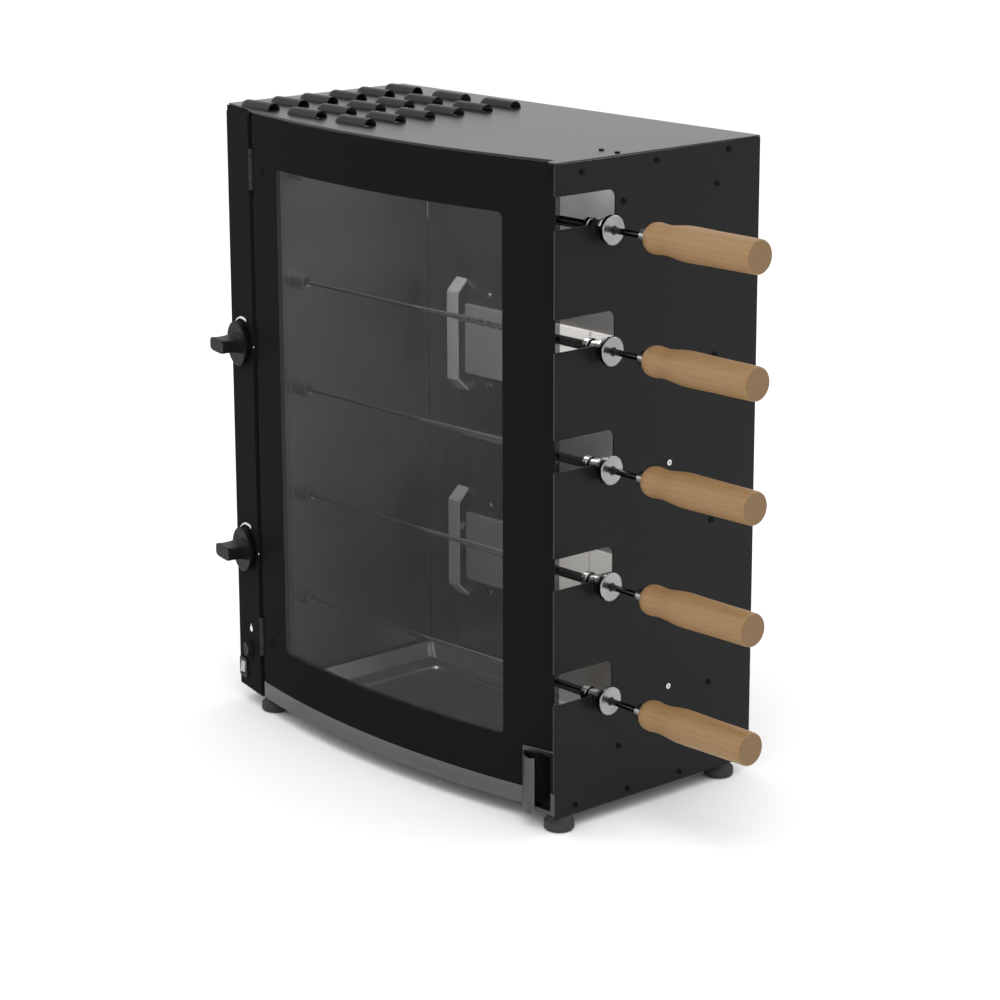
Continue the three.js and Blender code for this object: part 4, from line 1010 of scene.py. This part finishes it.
def tray():
    """A pressed tray: rolled rim, sloping walls, rounded corners, and a shallow ridge round its floor."""
    x0, x1, y0, y1 = TRAY_LOW.x, TRAY_HIGH.x, TRAY_LOW.y, TRAY_HIGH.y
    rim, floor = TRAY_HIGH.z, TRAY_LOW.z
    stages = [(0.4, rim - 2.4, 5), (0.0, rim - 1.2, 5), (0.4, rim - 0.2, 5), (1.2, rim, 5), (4.2, rim, 5),
              (6.0, rim - 1.2, 6), (17, floor + 6.4, 10), (20, floor + 4.6, 12), (23, floor + 4.2, 14),
              (38, floor + 4.2, 14), (40, floor + 5.4, 14), (43, floor + 5.4, 14), (45, floor + 3.2, 14),
              (80, floor + 2.6, 14)]  # inset from the rim, height, corner radius
    loops = []
    for inset, z, corner in stages:
        deep = inset * TRAY_SIDE_SLOPE
        outline = rounded(x0 + inset, x1 - inset, y0 + deep, y1 - deep, corner, 6)
        loops.append([at(a, b, z) for a, b in outline])
    bm = rings(loops, close_ends=False)
    bm.verts.ensure_lookup_table()
    bm.faces.new(bm.verts[-len(outline):])
    return bm


pan = piece("tray_skin", tray(), STAINLESS, "tray", ["drip_tray"], 30)
shell = pan.modifiers.new("thickness", "SOLIDIFY")
shell.thickness = TRAY_SHEET * MM
shell.offset = -1.0

FOOT = [(-15, AXIS), (-15, 11.2), (-14.6, 12.4), (-13.2, 14.2), (-12.2, 14.5), (-6.6, 14.5), (-5.6, 14.2),
        (-4.6, 12.6), (-3.6, 11.6), (-0.6, 10.6), (-0.3, 10.2), (-0.3, AXIS)]  # height, radius

for name in ("front_left", "front_right", "back_left", "back_right"):
    low, high = size_of(f"{name}_foot")
    axis = along_z((low.x + high.x) / 2, (low.y + high.y) / 2)
    piece(f"{name}_foot_pad", turned(FOOT, axis, 48), RUBBER, "cabinet", [f"{name}_foot"])

# ---------------------------------------------------------------- stage, light and camera

FLOOR_HALF = 60.0  # metres
SKY_STRENGTH = 1.12


def floor_material():
    """Plain pale floor."""
    m = Nodes("floor")
    m.link(m.ramp(m.noise(0.8, 2.0), [(0.3, (0.93, 0.93, 0.93)), (0.7, (0.95, 0.95, 0.95))]),
           m.shader.inputs["Base Color"])
    m.set(Roughness=0.9, Specular_IOR_Level=0.1)
    return m.material


ground = bmesh.new()
bmesh.ops.create_grid(ground, x_segments=1, y_segments=1, size=FLOOR_HALF)
ground_mesh = bpy.data.meshes.new("floor")
ground.to_mesh(ground_mesh)
ground.free()
ground_mesh.materials.append(floor_material())
ground_plane = bpy.data.objects.new("floor", ground_mesh)
bpy.context.scene.collection.objects.link(ground_plane)
ground_plane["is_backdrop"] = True

world = bpy.data.worlds.new("studio")
bpy.context.scene.world = world
world.use_nodes = True
sky = world.node_tree.nodes["Background"]
sky.inputs["Color"].default_value = (1.0, 1.0, 1.0, 1.0)
sky.inputs["Strength"].default_value = SKY_STRENGTH


def softbox(name, place, target, size, watts):
    """A white rectangular lamp; place and target are in metres, in the frame's own axes."""
    light = bpy.data.lights.new(name, "AREA")
    light.shape = "RECTANGLE"
    light.size, light.size_y = size
    light.energy = watts
    obj = bpy.data.objects.new(name, light)
    bpy.context.scene.collection.objects.link(obj)
    obj.location = place
    obj.rotation_mode = "QUATERNION"
    obj.rotation_quaternion = (Vector(target) - Vector(place)).to_track_quat("-Z", "Y")
    return obj


softbox("key", (1.6, -1.4, 2.6), (0, 0, 0.3), (1.6, 1.6), 26.0)
softbox("fill", (-2.2, -1.8, 1.8), (0, 0, 0.3), (1.8, 1.8), 10.0)
softbox("rim", (0.6, 2.4, 2.2), (0, 0, 0.4), (2.2, 1.2), 14.0)

# Two weak lamps in the chamber, unseen themselves, because little light passes the smoked glass
softbox("chamber", at(235, 100, 600), at(235, 130, 100), (0.26, 0.12), 0.95).visible_camera = False
softbox("chamber_side", at(482, 34, 310), at(150, 238, 290), (0.03, 0.46), 0.55).visible_camera = False

CAMERA_PLACE = (2490.4, -1813.2, 1028.0)
CAMERA_AZIMUTH, CAMERA_ELEVATION, CAMERA_ROLL = 0.8444, 0.2619, -0.0029
FOCAL_SHARE, CENTRE_U, CENTRE_V = 3.0338, 0.5003, 0.5001  # shares of the picture's width
SENSOR_WIDTH, CLIP_END = 36.0, 200.0

camera_data = bpy.data.cameras.new("camera")
camera_data.sensor_width = SENSOR_WIDTH
camera_data.lens = SENSOR_WIDTH * FOCAL_SHARE
camera_data.shift_x = 0.5 - CENTRE_U
camera_data.shift_y = CENTRE_V - 0.5
camera = bpy.data.objects.new("camera", camera_data)
bpy.context.scene.collection.objects.link(camera)
back = Vector((math.sin(CAMERA_AZIMUTH) * math.cos(CAMERA_ELEVATION),
               -math.cos(CAMERA_AZIMUTH) * math.cos(CAMERA_ELEVATION), math.sin(CAMERA_ELEVATION)))
turn = (-back).to_track_quat("-Z", "Y").to_matrix().to_4x4()
roll = Matrix.Rotation(CAMERA_ROLL, 4, "Z")
camera.matrix_world = Matrix.Translation(at(*CAMERA_PLACE)) @ turn @ roll
camera_data.clip_end = CLIP_END
bpy.context.scene.camera = camera
bpy.context.scene.view_settings.view_transform = "Standard"

low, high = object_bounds()
